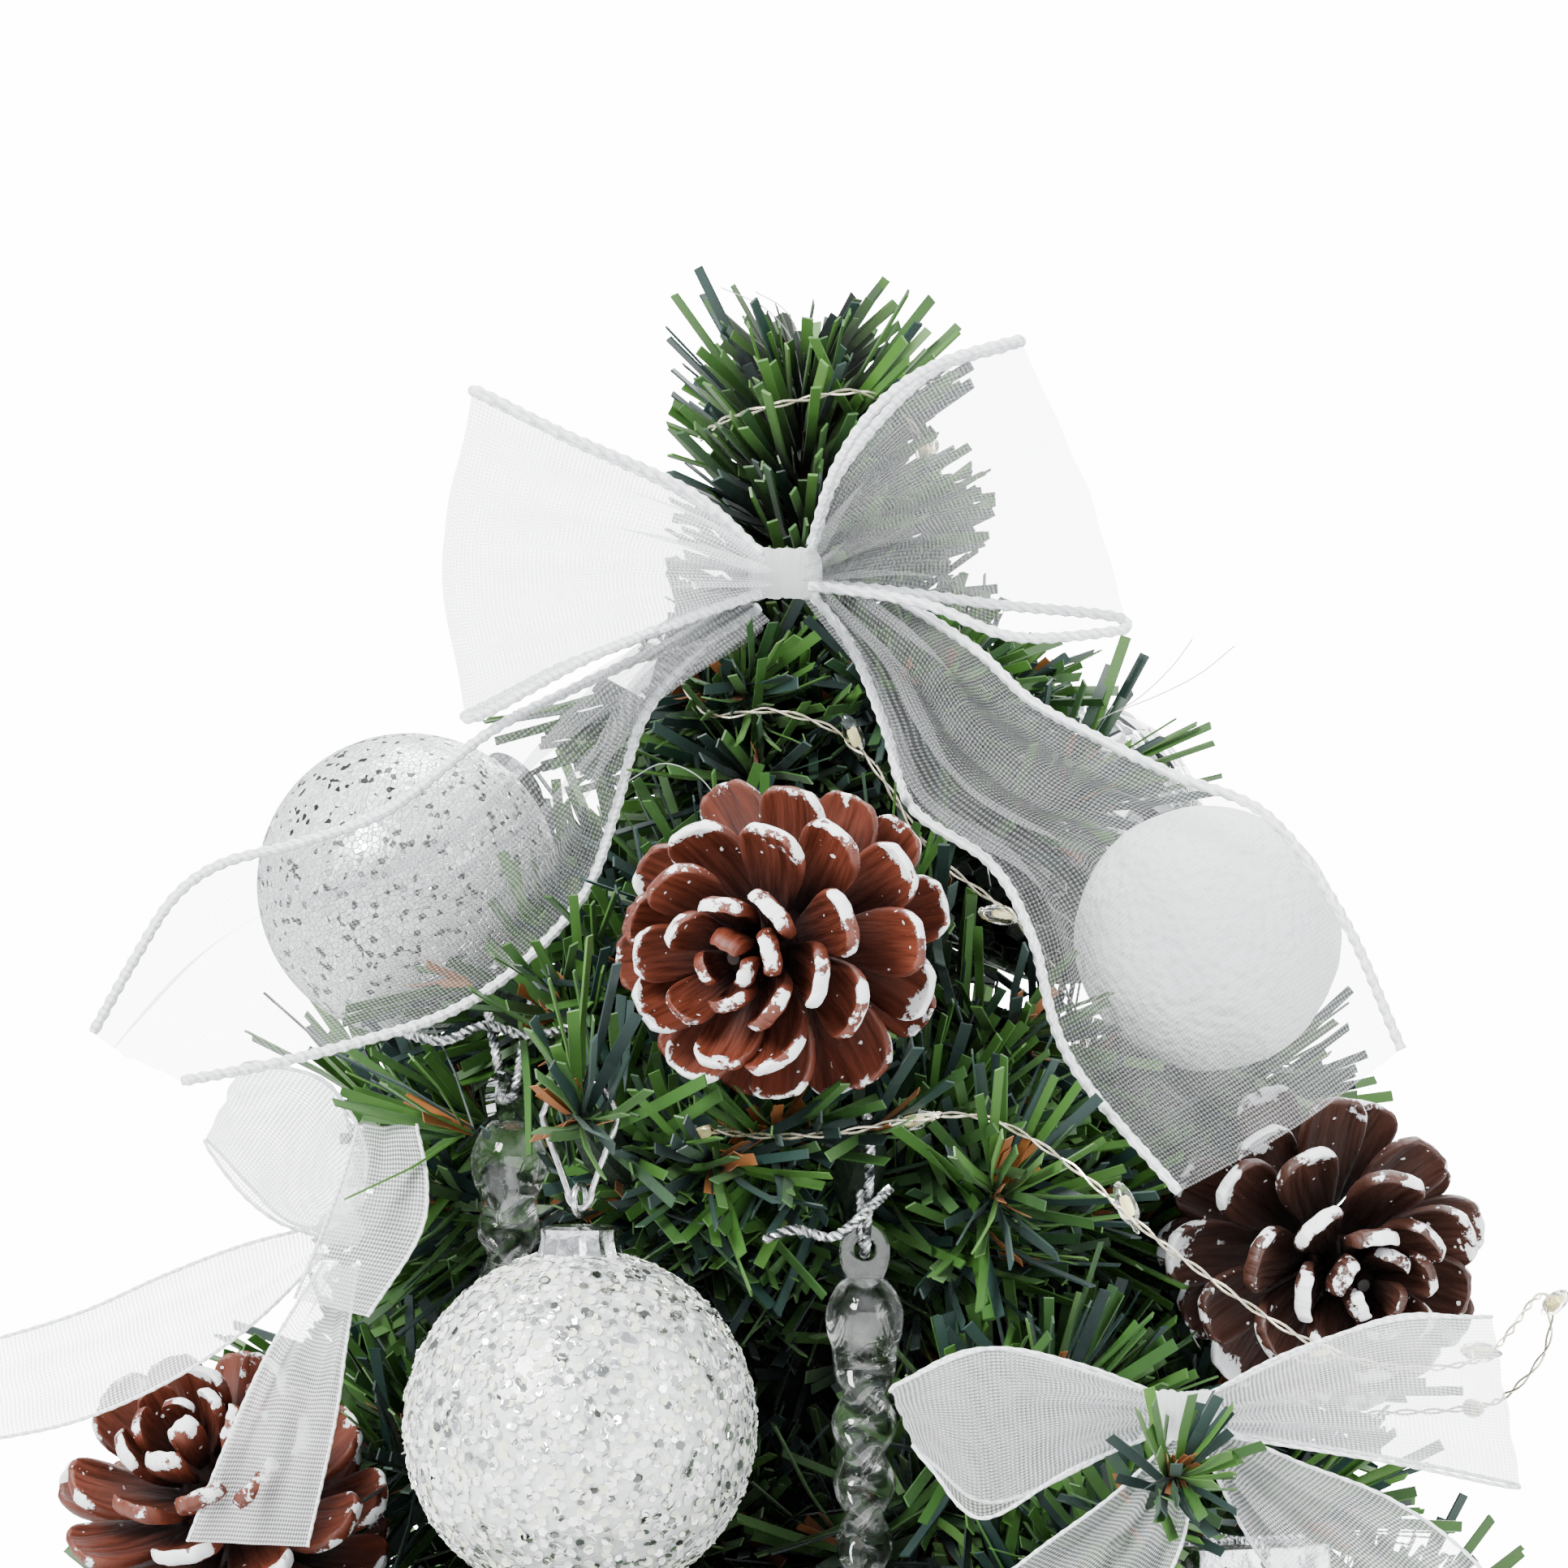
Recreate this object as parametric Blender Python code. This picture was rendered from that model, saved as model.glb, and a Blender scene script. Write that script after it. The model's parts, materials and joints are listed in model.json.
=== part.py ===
"""An artificial tabletop tree, 450 mm tall, with its trimmings, as separate named solids.

The tree stands on a turned base that holds two AA cells, a switch and a steel ring for weight.
Two tiers of wire branches bend at their roots. The tiers above are fixed to the trunk. Bows, balls,
cones and icicles are fixed to the branches or hang from them, and a string of lights winds upwards.
Sizes are in millimetres here, and metres() turns them into Blender's metres. The front is -Y.
Azimuths are in degrees, seen from above: 0 is +X and -90 is the front.
"""

import math

import bmesh
import bpy
from mathutils import Matrix, Vector

MM = 0.001
GAP = 0.3  # left between neighbouring pieces

# Tree
LEADER_TOP = 444.0
TRUNK_RADIUS = 4.2
TRUNK_TOP = 402.0
STEM_RADIUS = 1.7  # bare wire at a branch's root
HUB_RADIUS = 8.0
HUB_HEIGHT = 14.0
BRANCH_SIDES = 6

# Fixed tiers: root height, then azimuth, rise in degrees and length of each branch
FIXED_TIERS = {
    "tier_3": (182.0, [(a, 16.0, 104.0) for a in (-100, -49, 3, 54, 106, 157, -152)]),
    "tier_4": (220.0, [(a, 20.0, 91.0) for a in (-75, -24, 28, 79, 130, -178, -127)]),
    "tier_5": (256.0, [(a, 24.0, 78.0) for a in (-55, 5, 65, 125, -175, -115)]),
    "tier_6": (290.0, [(-120, 28.0, 44.0)] + [(a, 28.0, 65.0) for a in (-60, 0, 60, 120, 180)]),
    "tier_7": (322.0, [(-113, 26.5, 73.0), (-82, 30.0, 61.0), (-40, 28.0, 44.0), (-155, 26.0, 50.0)]
               + [(a, 30.0, 60.0) for a in (15, 66, 118, 169)]),
    "tier_8": (352.0, [(-140, 18.0, 52.0), (-98, 34.0, 40.0), (-60, 36.0, 40.0), (80, 36.0, 44.0),
                       (130, 36.0, 44.0)]),
    "tier_9": (382.0, [(a, 40.0, 32.0) for a in (-107, -50, 0, 60, 115, 172)]),
}
# Bending tiers: root height, rise in degrees, length, azimuths
BENDING_TIERS = {
    "branch_1": (100.0, 8.0, 134.0, (-65, -5, 55, 115, 175, -125)),
    "branch_2": (140.0, 12.0, 119.0, (-35, 25, 85, 145, -155, -95)),
}
COLLAR_RADIUS = 5.4
COLLAR_HEIGHT = 8.0
HINGE_RADIUS = 8.0  # how far from the trunk's axis a bending branch turns
BRUSH = 3.0  # radius of a branch's wound core, which the needles stand out of

# Base
BASE_RADIUS = 58.0
BASE_BOTTOM = 1.8
BASE_TOP = 44.0
SOCKET_BOTTOM = 23.0
PAD_INNER, PAD_OUTER, PAD_THICK = 45.0, 55.0, 1.5
POCKET = (56.0, 33.0, 19.3)  # cell compartment, across X, Y and up to this height
COVER = (62.0, 37.2, 1.2)  # battery cover, across X, Y and thick
COVER_BOTTOM = 2.8
COVER_LIP = 1.5  # held under the shell on each side
COVER_TRAVEL = 8.0
WEIGHT_INNER, WEIGHT_OUTER, WEIGHT_TOP = 44.5, 52.0, 14.0
CELL_RADIUS, CELL_LENGTH, CELL_HEIGHT = 7.0, 50.0, 11.7
SWITCH_HEIGHT, SWITCH_TRAVEL = 12.0, 5.0
LEAD_HOLE = (90.0, 10.0)  # azimuth and radius of the hole that the light string leaves by

# Trimmings: centre and radius
BALLS = {  # hung balls: centre, radius, azimuth of the branch, height of the hook's top turn
    "ball_front": ((-24.8, -58.5, 319.9), 19.6, -113.0, 353.7),
    "ball_low": ((21.5, -80.4, 217.5), 17.7, -75.0, 250.3),
}
TUCKED_BALLS = {  # balls wired in among the branches: centre, radius, direction of the cap
    "ball_left": ((-46.0, -10.0, 379.0), 17.7, (0.6, 0.5, 0.6)),
    "ball_right": ((31.0, 15.0, 384.0), 17.3, (-0.6, 0.3, 0.7)),
}
SNOWBALLS = {  # centre, direction of the wire
    "snowball_right": ((46.2, -25.0, 373.0), (-0.5, 0.8, -0.2)),
}
SNOWBALL_RADIUS = 15.6
WALL = 0.9
CAP_RADIUS, CAP_HEIGHT = 4.4, 4.0
NECK_RADIUS = 3.4
CONES = {  # centre, direction that the tip points
    "pine_cone_front": ((-3.0, -60.0, 373.0), (-0.25, -0.93, -0.05)),
    "pine_cone_right": ((59.5, -30.0, 337.0), (0.25, -0.85, -0.20)),
    "pine_cone_left": ((-66.0, -30.0, 308.0), (-0.25, -0.60, 0.55)),
    "pine_cone_low": ((-18.0, -93.0, 264.0), (0.10, -0.95, -0.20)),
}
CONE_RADIUS, CONE_LENGTH, CONE_ROWS = 17.6, 31.0, 5
WIRE_TAIL = 9.0
ICICLES = {  # top turn of the cord loop, azimuth of the branch that it hangs from
    "left": ((-33.7, -28.3, 366.3), -140.0),
    "right": ((6.7, -47.5, 349.7), -82.0),
    "low": ((-50.1, -66.4, 250.3), -127.0),
}
ICICLE_LENGTH, ICICLE_RADIUS, ICICLE_TWIST = 66.0, 4.1, 540.0
LOOP_DROP, LOOP_WIDTH, LOOP_WIRE = 11.0, 8.8, 0.5
TAB = (5.0, 2.0)  # eyelet tab on a hanging piece: across, thick
EYE_RADIUS = 1.2
GIFT_BOX = ((48.0, -52.0, 300.0), (17.0, 14.0, 13.0), 25.0)  # centre, size, turn about Z

# Bows: stations are centre, half width across the ribbon, and thickness
BOW_KNOT = (-2.2, -25.0, 415.0)
BOW_LOOP_LEFT = (
    ((-7.4, -26.0, 415.0), (0.0, 0.0, 4.0), 4.0),
    ((-12.5, -27.5, 416.7), (0.0, 0.0, 7.9), 7.0),
    ((-22.7, -30.0, 417.3), (0.0, 0.0, 11.8), 9.0),
    ((-32.0, -31.0, 417.0), (0.0, 0.0, 16.4), 8.0),
    ((-38.8, -31.0, 417.0), (0.0, 0.0, 15.0), 3.0),
)
BOW_LOOP_RIGHT = (
    ((3.0, -26.0, 415.6), (0.0, 0.0, 4.0), 4.0),
    ((8.7, -28.0, 420.0), (0.0, 0.0, 8.0), 7.0),
    ((17.5, -31.0, 423.5), (-1.0, 0.0, 13.5), 9.0),
    ((25.4, -32.0, 424.0), (-3.0, 0.0, 16.0), 8.0),
    ((31.6, -32.0, 425.0), (-6.0, 0.0, 15.6), 3.0),
)
BOW_TAIL_LEFT = (
    ((-8.0, -25.5, 406.4), (-2.2, 0.0, 1.4), 1.5),
    ((-20.4, -30.0, 401.6), (-4.6, 1.0, 1.8), 1.5),
    ((-27.8, -32.5, 393.6), (-7.4, 2.0, 2.9), 1.5),
    ((-36.6, -34.0, 382.7), (-10.2, 1.0, 6.2), 1.5),
    ((-49.5, -34.5, 373.5), (-10.2, 1.0, 8.5), 1.5),
    ((-61.0, -34.0, 370.4), (-6.9, 1.0, 10.6), 1.5),
    ((-74.2, -33.0, 360.2), (-5.2, 1.0, 2.9), 1.5),
)
BOW_TAIL_RIGHT = (
    ((3.6, -25.5, 409.6), (2.8, 0.0, 1.6), 1.5),
    ((12.9, -30.0, 404.0), (6.9, 0.0, 0.0), 1.5),
    ((18.0, -34.0, 398.0), (8.3, 0.0, 1.4), 1.5),
    ((26.3, -39.0, 389.9), (12.0, 0.0, 3.2), 1.5),
    ((39.5, -43.5, 380.4), (13.6, 0.0, 6.7), 1.5),
    ((45.3, -45.5, 369.5), (16.2, 0.0, 6.0), 1.5),
    ((55.5, -49.5, 352.7), (12.6, 0.0, 8.1), 1.5),
)
SMALL_BOWS = {  # knot, then the strips of ribbon, each from the knot outwards
    "right": (
        (42.6, -77.0, 322.7),
        (
            (
                ((44.5, -76.6, 322.6), (0.0, 0.0, 3.0), 3.0),
                ((56.4, -77.0, 323.6), (0.0, 0.0, 7.0), 6.0),
                ((68.0, -77.0, 323.5), (0.0, 0.0, 9.7), 6.0),
                ((76.3, -76.0, 323.1), (-1.9, 0.0, 9.3), 2.0),
            ),
            (
                ((40.7, -76.6, 322.6), (0.0, 0.0, 3.0), 3.0),
                ((27.9, -77.0, 320.0), (0.0, 0.0, 6.2), 6.0),
                ((19.0, -77.0, 319.6), (0.0, 0.0, 9.2), 6.0),
                ((14.4, -76.0, 317.5), (-3.0, 0.0, 7.0), 2.0),
            ),
            (
                ((41.0, -76.0, 320.6), (2.5, 0.0, 1.0), 1.5),
                ((34.0, -76.0, 309.0), (6.5, 0.0, 2.0), 1.5),
                ((28.5, -77.0, 298.0), (9.0, 0.0, 2.0), 1.5),
                ((25.0, -78.0, 287.0), (9.5, 0.0, 3.0), 1.5),
            ),
            (
                ((44.6, -76.0, 320.6), (2.5, 0.0, 1.0), 1.5),
                ((56.0, -75.0, 311.0), (6.0, 0.0, 5.0), 1.5),
                ((66.0, -74.0, 301.0), (7.0, 0.0, 6.0), 1.5),
                ((72.0, -74.0, 290.0), (9.0, 0.0, 3.0), 1.5),
            ),
        ),
    ),
    "left": (
        (-51.0, -36.0, 339.0),
        (
            (
                ((-52.5, -35.8, 339.6), (1.0, 0.0, 2.6), 3.0),
                ((-59.0, -36.0, 347.0), (5.0, 0.0, 5.5), 5.0),
                ((-63.0, -36.0, 352.0), (6.0, 0.0, 6.0), 2.0),
            ),
            (
                ((-50.5, -37.0, 337.0), (2.5, 0.0, 0.5), 3.0),
                ((-50.5, -43.0, 329.0), (5.5, 0.0, 1.0), 5.0),
                ((-51.5, -43.0, 323.0), (6.0, 0.0, 1.5), 2.0),
            ),
            (
                ((-53.0, -36.2, 338.8), (0.5, 0.0, 2.6), 1.5),
                ((-68.0, -38.0, 335.0), (2.0, 0.0, 6.5), 1.5),
                ((-82.0, -38.0, 328.0), (3.0, 0.0, 7.5), 1.5),
                ((-93.0, -37.0, 321.5), (3.5, 0.0, 6.5), 1.5),
            ),
        ),
    ),
}
KNOT_RADIUS = 4.4

# Light string: azimuth, radius and height of the places that it runs through, from base to tip
STRING_RADIUS = 0.55
BEAD_RADIUS = 1.15
BEAD_EVERY = 4
STRING_ROUTE = (
    (90, 10, 34), (90, 10, 60), (88, 9.5, 84), (85, 9.5, 102), (70, 9.5, 122), (55, 9.5, 142),
    (42, 9.5, 162), (30, 11, 182), (24, 26, 199), (5, 52, 205), (-24, 64, 209), (-49, 64, 209),
    (-75, 58, 207), (-100, 62, 208), (-126, 66, 210), (-152, 66, 210), (-178, 66, 210),
    (157, 66, 210), (132, 66, 210), (106, 66, 210), (80, 64, 214), (54, 62, 232), (28, 60, 250),
    (2, 58, 250), (-24, 58, 250), (-50, 58, 249), (-75, 58, 250), (-101, 58, 249), (-127, 58, 250),
    (-152, 58, 249), (-178, 58, 250), (156, 58, 249), (130, 58, 250), (104, 57, 250),
    (79, 55, 251), (57, 52, 258), (35, 50, 272), (5, 49, 287), (-25, 49, 286), (-55, 49, 287),
    (-85, 39, 285), (-115, 44, 284), (-139, 37, 281), (-158, 42, 283), (-175, 47, 286),
    (155, 48, 286), (125, 48, 287), (95, 47, 286), (65, 46, 286), (45, 45, 292), (30, 46, 304),
    (16, 60, 314), (2, 78, 317), (-6, 83, 320), (-9, 87, 325), (-12, 88, 330), (-18, 88, 332),
    (-32, 88, 326), (-46, 84, 328), (-56, 73, 339), (-62, 61, 349), (-72, 58, 354),
    (-88, 59, 352), (-100, 53, 352), (-113, 43, 354), (-125, 38, 354), (-141, 34, 353), (-165, 32, 351),
    (169, 32, 352), (143, 31, 350), (118, 31, 351), (92, 30, 349), (66, 30, 350), (40, 29, 348),
    (15, 30, 351), (-8, 33, 359), (-28, 34, 367), (-46, 35, 375), (-62, 31, 383), (-78, 29, 395),
    (-96, 29, 399), (-115, 27, 399), (-140, 22, 408), (172, 19, 406), (130, 17, 410),
    (90, 15, 415), (50, 14, 420), (10, 14, 426), (-30, 15, 432), (-63, 16, 436), (-93, 16.5, 435),
    (-123, 16.5, 433), (-150, 14, 431),
)


def metres(point):
    return Vector(point) * MM


def at_azimuth(azimuth, radius, height):
    turn = math.radians(azimuth)
    return Vector((radius * math.cos(turn), radius * math.sin(turn), height))


def clear_scene():
    for old in list(bpy.data.objects):
        bpy.data.objects.remove(old, do_unlink=True)


def make_material(name, colour, roughness, metallic=0.0, alpha=1.0):
    material = bpy.data.materials.new(name)
    material.use_nodes = True
    shader = material.node_tree.nodes["Principled BSDF"]
    shader.inputs["Base Color"].default_value = (*colour, 1.0)
    shader.inputs["Roughness"].default_value = roughness
    shader.inputs["Metallic"].default_value = metallic
    shader.inputs["Alpha"].default_value = alpha
    return material


def place(name, data, material, origin=(0.0, 0.0, 0.0)):
    """A new object from mesh or curve data whose points are given in the row's own frame."""
    data.transform(Matrix.Translation(-metres(origin)))
    data.materials.append(material)
    piece = bpy.data.objects.new(name, data)
    piece.location = metres(origin)
    bpy.context.scene.collection.objects.link(piece)
    return piece


def finish_mesh(name, shape, material, origin=(0.0, 0.0, 0.0)):
    bmesh.ops.recalc_face_normals(shape, faces=shape.faces[:])
    if shape.calc_volume(signed=True) < 0:
        bmesh.ops.reverse_faces(shape, faces=shape.faces[:])
    mesh = bpy.data.meshes.new(name)
    shape.to_mesh(mesh)
    shape.free()
    mesh.shade_smooth()
    mesh.set_sharp_from_angle(angle=math.radians(40))
    return place(name, mesh, material, origin)


def helper(piece):
    piece.hide_render = True
    piece.display_type = "WIRE"
    return piece


def combine(piece, other, operation):
    step = piece.modifiers.new(operation.title(), "BOOLEAN")
    step.operation = operation
    step.object = helper(other)


def turned_shape(profile, segments, closed=False):
    """A profile of (radius, height) spun round Z. It ends on the axis, or it is a closed ring."""
    shape = bmesh.new()
    points = [shape.verts.new(metres((radius, 0.0, height))) for radius, height in profile]
    edges = [shape.edges.new(pair) for pair in zip(points, points[1:])]
    if closed:
        edges.append(shape.edges.new((points[-1], points[0])))
    bmesh.ops.spin(
        shape, geom=points + edges, cent=(0, 0, 0), axis=(0, 0, 1), angle=math.tau, steps=segments
    )
    bmesh.ops.remove_doubles(shape, verts=shape.verts[:], dist=1e-6)
    return shape


def turned(name, profile, material, centre=(0.0, 0.0, 0.0), aim=(0.0, 0.0, 1.0), segments=16,
           closed=False, origin=None):
    shape = turned_shape(profile, segments, closed)
    tilt = Vector((0, 0, 1)).rotation_difference(Vector(aim)).to_matrix().to_4x4()
    shape.transform(Matrix.Translation(metres(centre)) @ tilt)
    return finish_mesh(name, shape, material, origin or centre)


def add_rings(shape, rings):
    """Closes rings of points, one after another, into a solid with flat ends."""
    made = [[shape.verts.new(metres(point)) for point in ring] for ring in rings]
    count = len(made[0])
    for near, far in zip(made, made[1:]):
        for i in range(count):
            j = (i + 1) % count
            shape.faces.new((near[i], near[j], far[j], far[i]))
    shape.faces.new(made[0][::-1])
    shape.faces.new(made[-1])


def add_limb(shape, start, end, stations, sides=BRANCH_SIDES):
    """A round limb from start to end. Stations are (share of the way along, radius)."""
    along = end - start
    side = along.cross(Vector((0, 0, 1))).normalized()
    rise = side.cross(along).normalized()
    turns = [math.tau * i / sides for i in range(sides)]
    add_rings(shape, [
        [start + along * share + (side * math.cos(t) + rise * math.sin(t)) * radius for t in turns]
        for share, radius in stations
    ])


def add_strip(shape, stations):
    """A strip of ribbon as a plate. Stations are centre, half width and thickness."""
    centres = [Vector(centre) for centre, _, _ in stations]
    rings = []
    for i, (_, half, thick) in enumerate(stations):
        along = centres[min(i + 1, len(centres) - 1)] - centres[max(i - 1, 0)]
        half = Vector(half)
        through = along.cross(half).normalized() * (thick / 2)
        middle = centres[i]
        rings.append([middle + half + through, middle - half + through,
                      middle - half - through, middle + half - through])
    add_rings(shape, rings)


def tube(name, points, radius, material, cyclic=False, thick_at=None, origin=(0.0, 0.0, 0.0)):
    """A round wire through the points. thick_at gives a point's share of the radius."""
    curve = bpy.data.curves.new(name, "CURVE")
    curve.dimensions = "3D"
    curve.bevel_depth = radius * MM
    curve.bevel_resolution = 1
    curve.use_fill_caps = True
    spline = curve.splines.new("POLY")
    spline.points.add(len(points) - 1)
    for i, point in enumerate(points):
        spline.points[i].co = (*metres(point), 1.0)
        spline.points[i].radius = thick_at(i) if thick_at else 1.0
    spline.use_cyclic_u = cyclic
    return place(name, curve, material, origin)


def smooth_line(points, steps):
    """Points on a Catmull-Rom curve through the given ones, with that many steps between them."""
    ends = [points[0] * 2 - points[1], *points, points[-1] * 2 - points[-2]]
    line = []
    for before, start, end, after in zip(ends, ends[1:], ends[2:], ends[3:]):
        for step in range(steps):
            t = step / steps
            line.append(0.5 * (
                2 * start + (end - before) * t
                + (2 * before - 5 * start + 4 * end - after) * t ** 2
                + (3 * start - before - 3 * end + after) * t ** 3
            ))
    return [*line, points[-1]]


def outward(azimuth, rise):
    lift = math.radians(rise)
    return at_azimuth(azimuth, math.cos(lift), math.sin(lift))


def block(name, low, high, material):
    """A plain block between two corners."""
    shape = bmesh.new()
    size = Vector(high) - Vector(low)
    middle = (Vector(high) + Vector(low)) / 2
    at = Matrix.Translation(metres(middle)) @ Matrix.Diagonal((*metres(size), 1.0))
    bmesh.ops.create_cube(shape, size=1.0, matrix=at)
    return finish_mesh(name, shape, material)


def make_base(materials):
    plastic = materials["base"]
    shell = turned("base_shell", [
        (0, BASE_BOTTOM), (BASE_RADIUS - 2, BASE_BOTTOM), (BASE_RADIUS, BASE_BOTTOM + 2),
        (BASE_RADIUS, 18.5), (BASE_RADIUS - 0.8, 20.6), (BASE_RADIUS - 3, 22), (BASE_RADIUS - 4, 24.2),
        (BASE_RADIUS - 5.6, 27.4), (BASE_RADIUS - 9, 30.8), (BASE_RADIUS - 14, 33.5),
        (BASE_RADIUS - 22, 35.8), (26, 37.6), (20, 38.6), (15, BASE_TOP - 1), (13, BASE_TOP), (0, BASE_TOP),
    ], plastic, segments=96)
    across, deep, thick = COVER
    inside = deep / 2 + GAP
    mouth = inside - COVER_LIP
    low, right = COVER_BOTTOM - GAP, across / 2 + COVER_TRAVEL + GAP
    x, y, top = POCKET[0] / 2, POCKET[1] / 2, POCKET[2]
    cutters = [
        block("cell_cut", (-x, -y, low), (x, y, top), plastic),
        block("mouth_cut", (-across / 2 - GAP, -mouth, -5), (right, mouth, low + 1), plastic),
        block("channel_cut", (-across / 2 - GAP, -inside, low),
              (right, inside, COVER_BOTTOM + thick + GAP), plastic),
        block("switch_cut", (-8, 54, SWITCH_HEIGHT - 4), (8, 70, SWITCH_HEIGHT + 4), plastic),
        turned("socket_cut", [
            (0, SOCKET_BOTTOM), (TRUNK_RADIUS + GAP, SOCKET_BOTTOM), (TRUNK_RADIUS + GAP, 60), (0, 60),
        ], plastic),
        turned("groove_cut", [
            (WEIGHT_INNER - GAP, -5), (WEIGHT_OUTER + GAP, -5),
            (WEIGHT_OUTER + GAP, WEIGHT_TOP + GAP), (WEIGHT_INNER - GAP, WEIGHT_TOP + GAP),
        ], plastic, segments=32, closed=True),
        turned("lead_cut", [
            (0, 15), (STRING_RADIUS + 0.8, 15), (STRING_RADIUS + 0.8, 60), (0, 60),
        ], plastic, centre=at_azimuth(*LEAD_HOLE, 0), segments=12),
    ]
    for cutter in cutters:
        combine(shell, cutter, "DIFFERENCE")
    turned("base_weight", [
        (WEIGHT_INNER, BASE_BOTTOM + GAP), (WEIGHT_OUTER, BASE_BOTTOM + GAP),
        (WEIGHT_OUTER, WEIGHT_TOP), (WEIGHT_INNER, WEIGHT_TOP),
    ], materials["steel"], segments=32, closed=True)
    turned("foot_pad", [
        (PAD_INNER, 0), (PAD_OUTER, 0), (PAD_OUTER, PAD_THICK), (PAD_INNER, PAD_THICK),
    ], materials["felt"], segments=96, closed=True)
    make_cover_and_switch(materials)
    for name, side in (("cell_1", -1), ("cell_2", 1)):
        half, y = CELL_LENGTH / 2, side * (CELL_RADIUS + 0.8)
        turned(name, [
            (0, -half), (CELL_RADIUS, -half), (CELL_RADIUS, half - 1.6), (2.7, half - 1.6),
            (2.7, half), (0, half),
        ], materials["cell"], centre=(0, y, CELL_HEIGHT), aim=(side, 0, 0), segments=20)


def make_cover_and_switch(materials):
    across, deep, thick = COVER
    cover = block("battery_cover", (-across / 2, -deep / 2, COVER_BOTTOM),
                  (across / 2, deep / 2, COVER_BOTTOM + thick), materials["base"])
    for i in range(3):
        x = -24 + 4 * i
        combine(cover, block(f"grip_cut_{i}", (x, -8, COVER_BOTTOM - 1),
                             (x + 1.6, 8, COVER_BOTTOM + 0.5), materials["base"]), "DIFFERENCE")
    half = (16 - SWITCH_TRAVEL) / 2 - GAP
    start = -SWITCH_TRAVEL / 2
    slider = block("switch_slider", (start - half, 54 + GAP, SWITCH_HEIGHT - 3.7),
                   (start + half, 56.6, SWITCH_HEIGHT + 3.7), materials["switch"])
    combine(slider, block("switch_thumb", (start - 1.6, 56, SWITCH_HEIGHT - 2.6),
                          (start + 1.6, 59.2, SWITCH_HEIGHT + 2.6), materials["switch"]), "UNION")


def make_trunk(materials):
    turned("trunk", [
        (0, SOCKET_BOTTOM + GAP), (TRUNK_RADIUS, SOCKET_BOTTOM + GAP),
        (TRUNK_RADIUS, TRUNK_TOP), (0, TRUNK_TOP),
    ], materials["trunk"], segments=16)
    foot = TRUNK_TOP + GAP
    turned("leader", [
        (0, foot), (STEM_RADIUS, foot), (STEM_RADIUS, foot + 3), (BRUSH, foot + 9),
        (BRUSH, LEADER_TOP - 7), (1.0, LEADER_TOP), (0, LEADER_TOP),
    ], materials["brush"], segments=BRANCH_SIDES)
    for name, (height, _, _, _) in BENDING_TIERS.items():
        ring = [(TRUNK_RADIUS + GAP, height - COLLAR_HEIGHT / 2), (COLLAR_RADIUS, height - COLLAR_HEIGHT / 2),
                (COLLAR_RADIUS, height + COLLAR_HEIGHT / 2),
                (TRUNK_RADIUS + GAP, height + COLLAR_HEIGHT / 2)]
        turned(name.replace("branch", "collar"), ring, materials["trunk"], closed=True)


def add_branch(shape, height, azimuth, rise, length, start):
    """A branch's stem and wound core, from start along it to its tip."""
    root, along = Vector((0, 0, height)), outward(azimuth, rise)
    span = length - start
    add_limb(shape, root + along * start, root + along * length, [
        (0, STEM_RADIUS), (12 / span, BRUSH), (1 - 8 / span, BRUSH), (1, 1.2),
    ])


def make_tiers(materials):
    for name, (height, branches) in FIXED_TIERS.items():
        ring = [(TRUNK_RADIUS + GAP, height - HUB_HEIGHT / 2), (HUB_RADIUS, height - HUB_HEIGHT / 2),
                (HUB_RADIUS, height + HUB_HEIGHT / 2), (TRUNK_RADIUS + GAP, height + HUB_HEIGHT / 2)]
        hub = turned(name, ring, materials["brush"], closed=True)
        spokes = bmesh.new()
        for azimuth, rise, length in branches:
            add_branch(spokes, height, azimuth, rise, length, 7.4)
        combine(hub, finish_mesh(f"{name}_spokes", spokes, materials["brush"]), "UNION")


def make_bending_branches(materials):
    for name, (height, rise, length, azimuths) in BENDING_TIERS.items():
        for azimuth, letter in zip(azimuths, "abcdef"):
            shape = bmesh.new()
            start = (HINGE_RADIUS - 1.2) / math.cos(math.radians(rise))
            add_branch(shape, height, azimuth, rise, length, start)
            lift = HINGE_RADIUS * math.tan(math.radians(rise))
            pivot = at_azimuth(azimuth, HINGE_RADIUS, height + lift)
            finish_mesh(f"{name}{letter}", shape, materials["brush"], pivot)


def make_string(materials):
    route = [at_azimuth(*place) for place in STRING_ROUTE]
    line = smooth_line(route, 2)

    def thick_at(i):
        return BEAD_RADIUS / STRING_RADIUS if i > 16 and i % BEAD_EVERY == 3 else 1.0

    tube("light_string", line, STRING_RADIUS, materials["wire"], thick_at=thick_at)


def hanging_loop(name, pivot, azimuth, eye_height, material):
    """A closed loop that passes over a branch and through the eye of what hangs from it."""
    half = LOOP_WIDTH / 2
    drop = pivot.z - eye_height - half
    across = at_azimuth(azimuth + 90, 1, 0)
    points = []
    for i in range(14):
        turn = math.tau * i / 14
        low = -drop if math.sin(turn) < -0.001 else 0
        points.append(pivot + across * half * math.cos(turn) + Vector((0, 0, half * math.sin(turn) + low)))
    tube(name, points, LOOP_WIRE, material, cyclic=True, origin=pivot)


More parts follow.
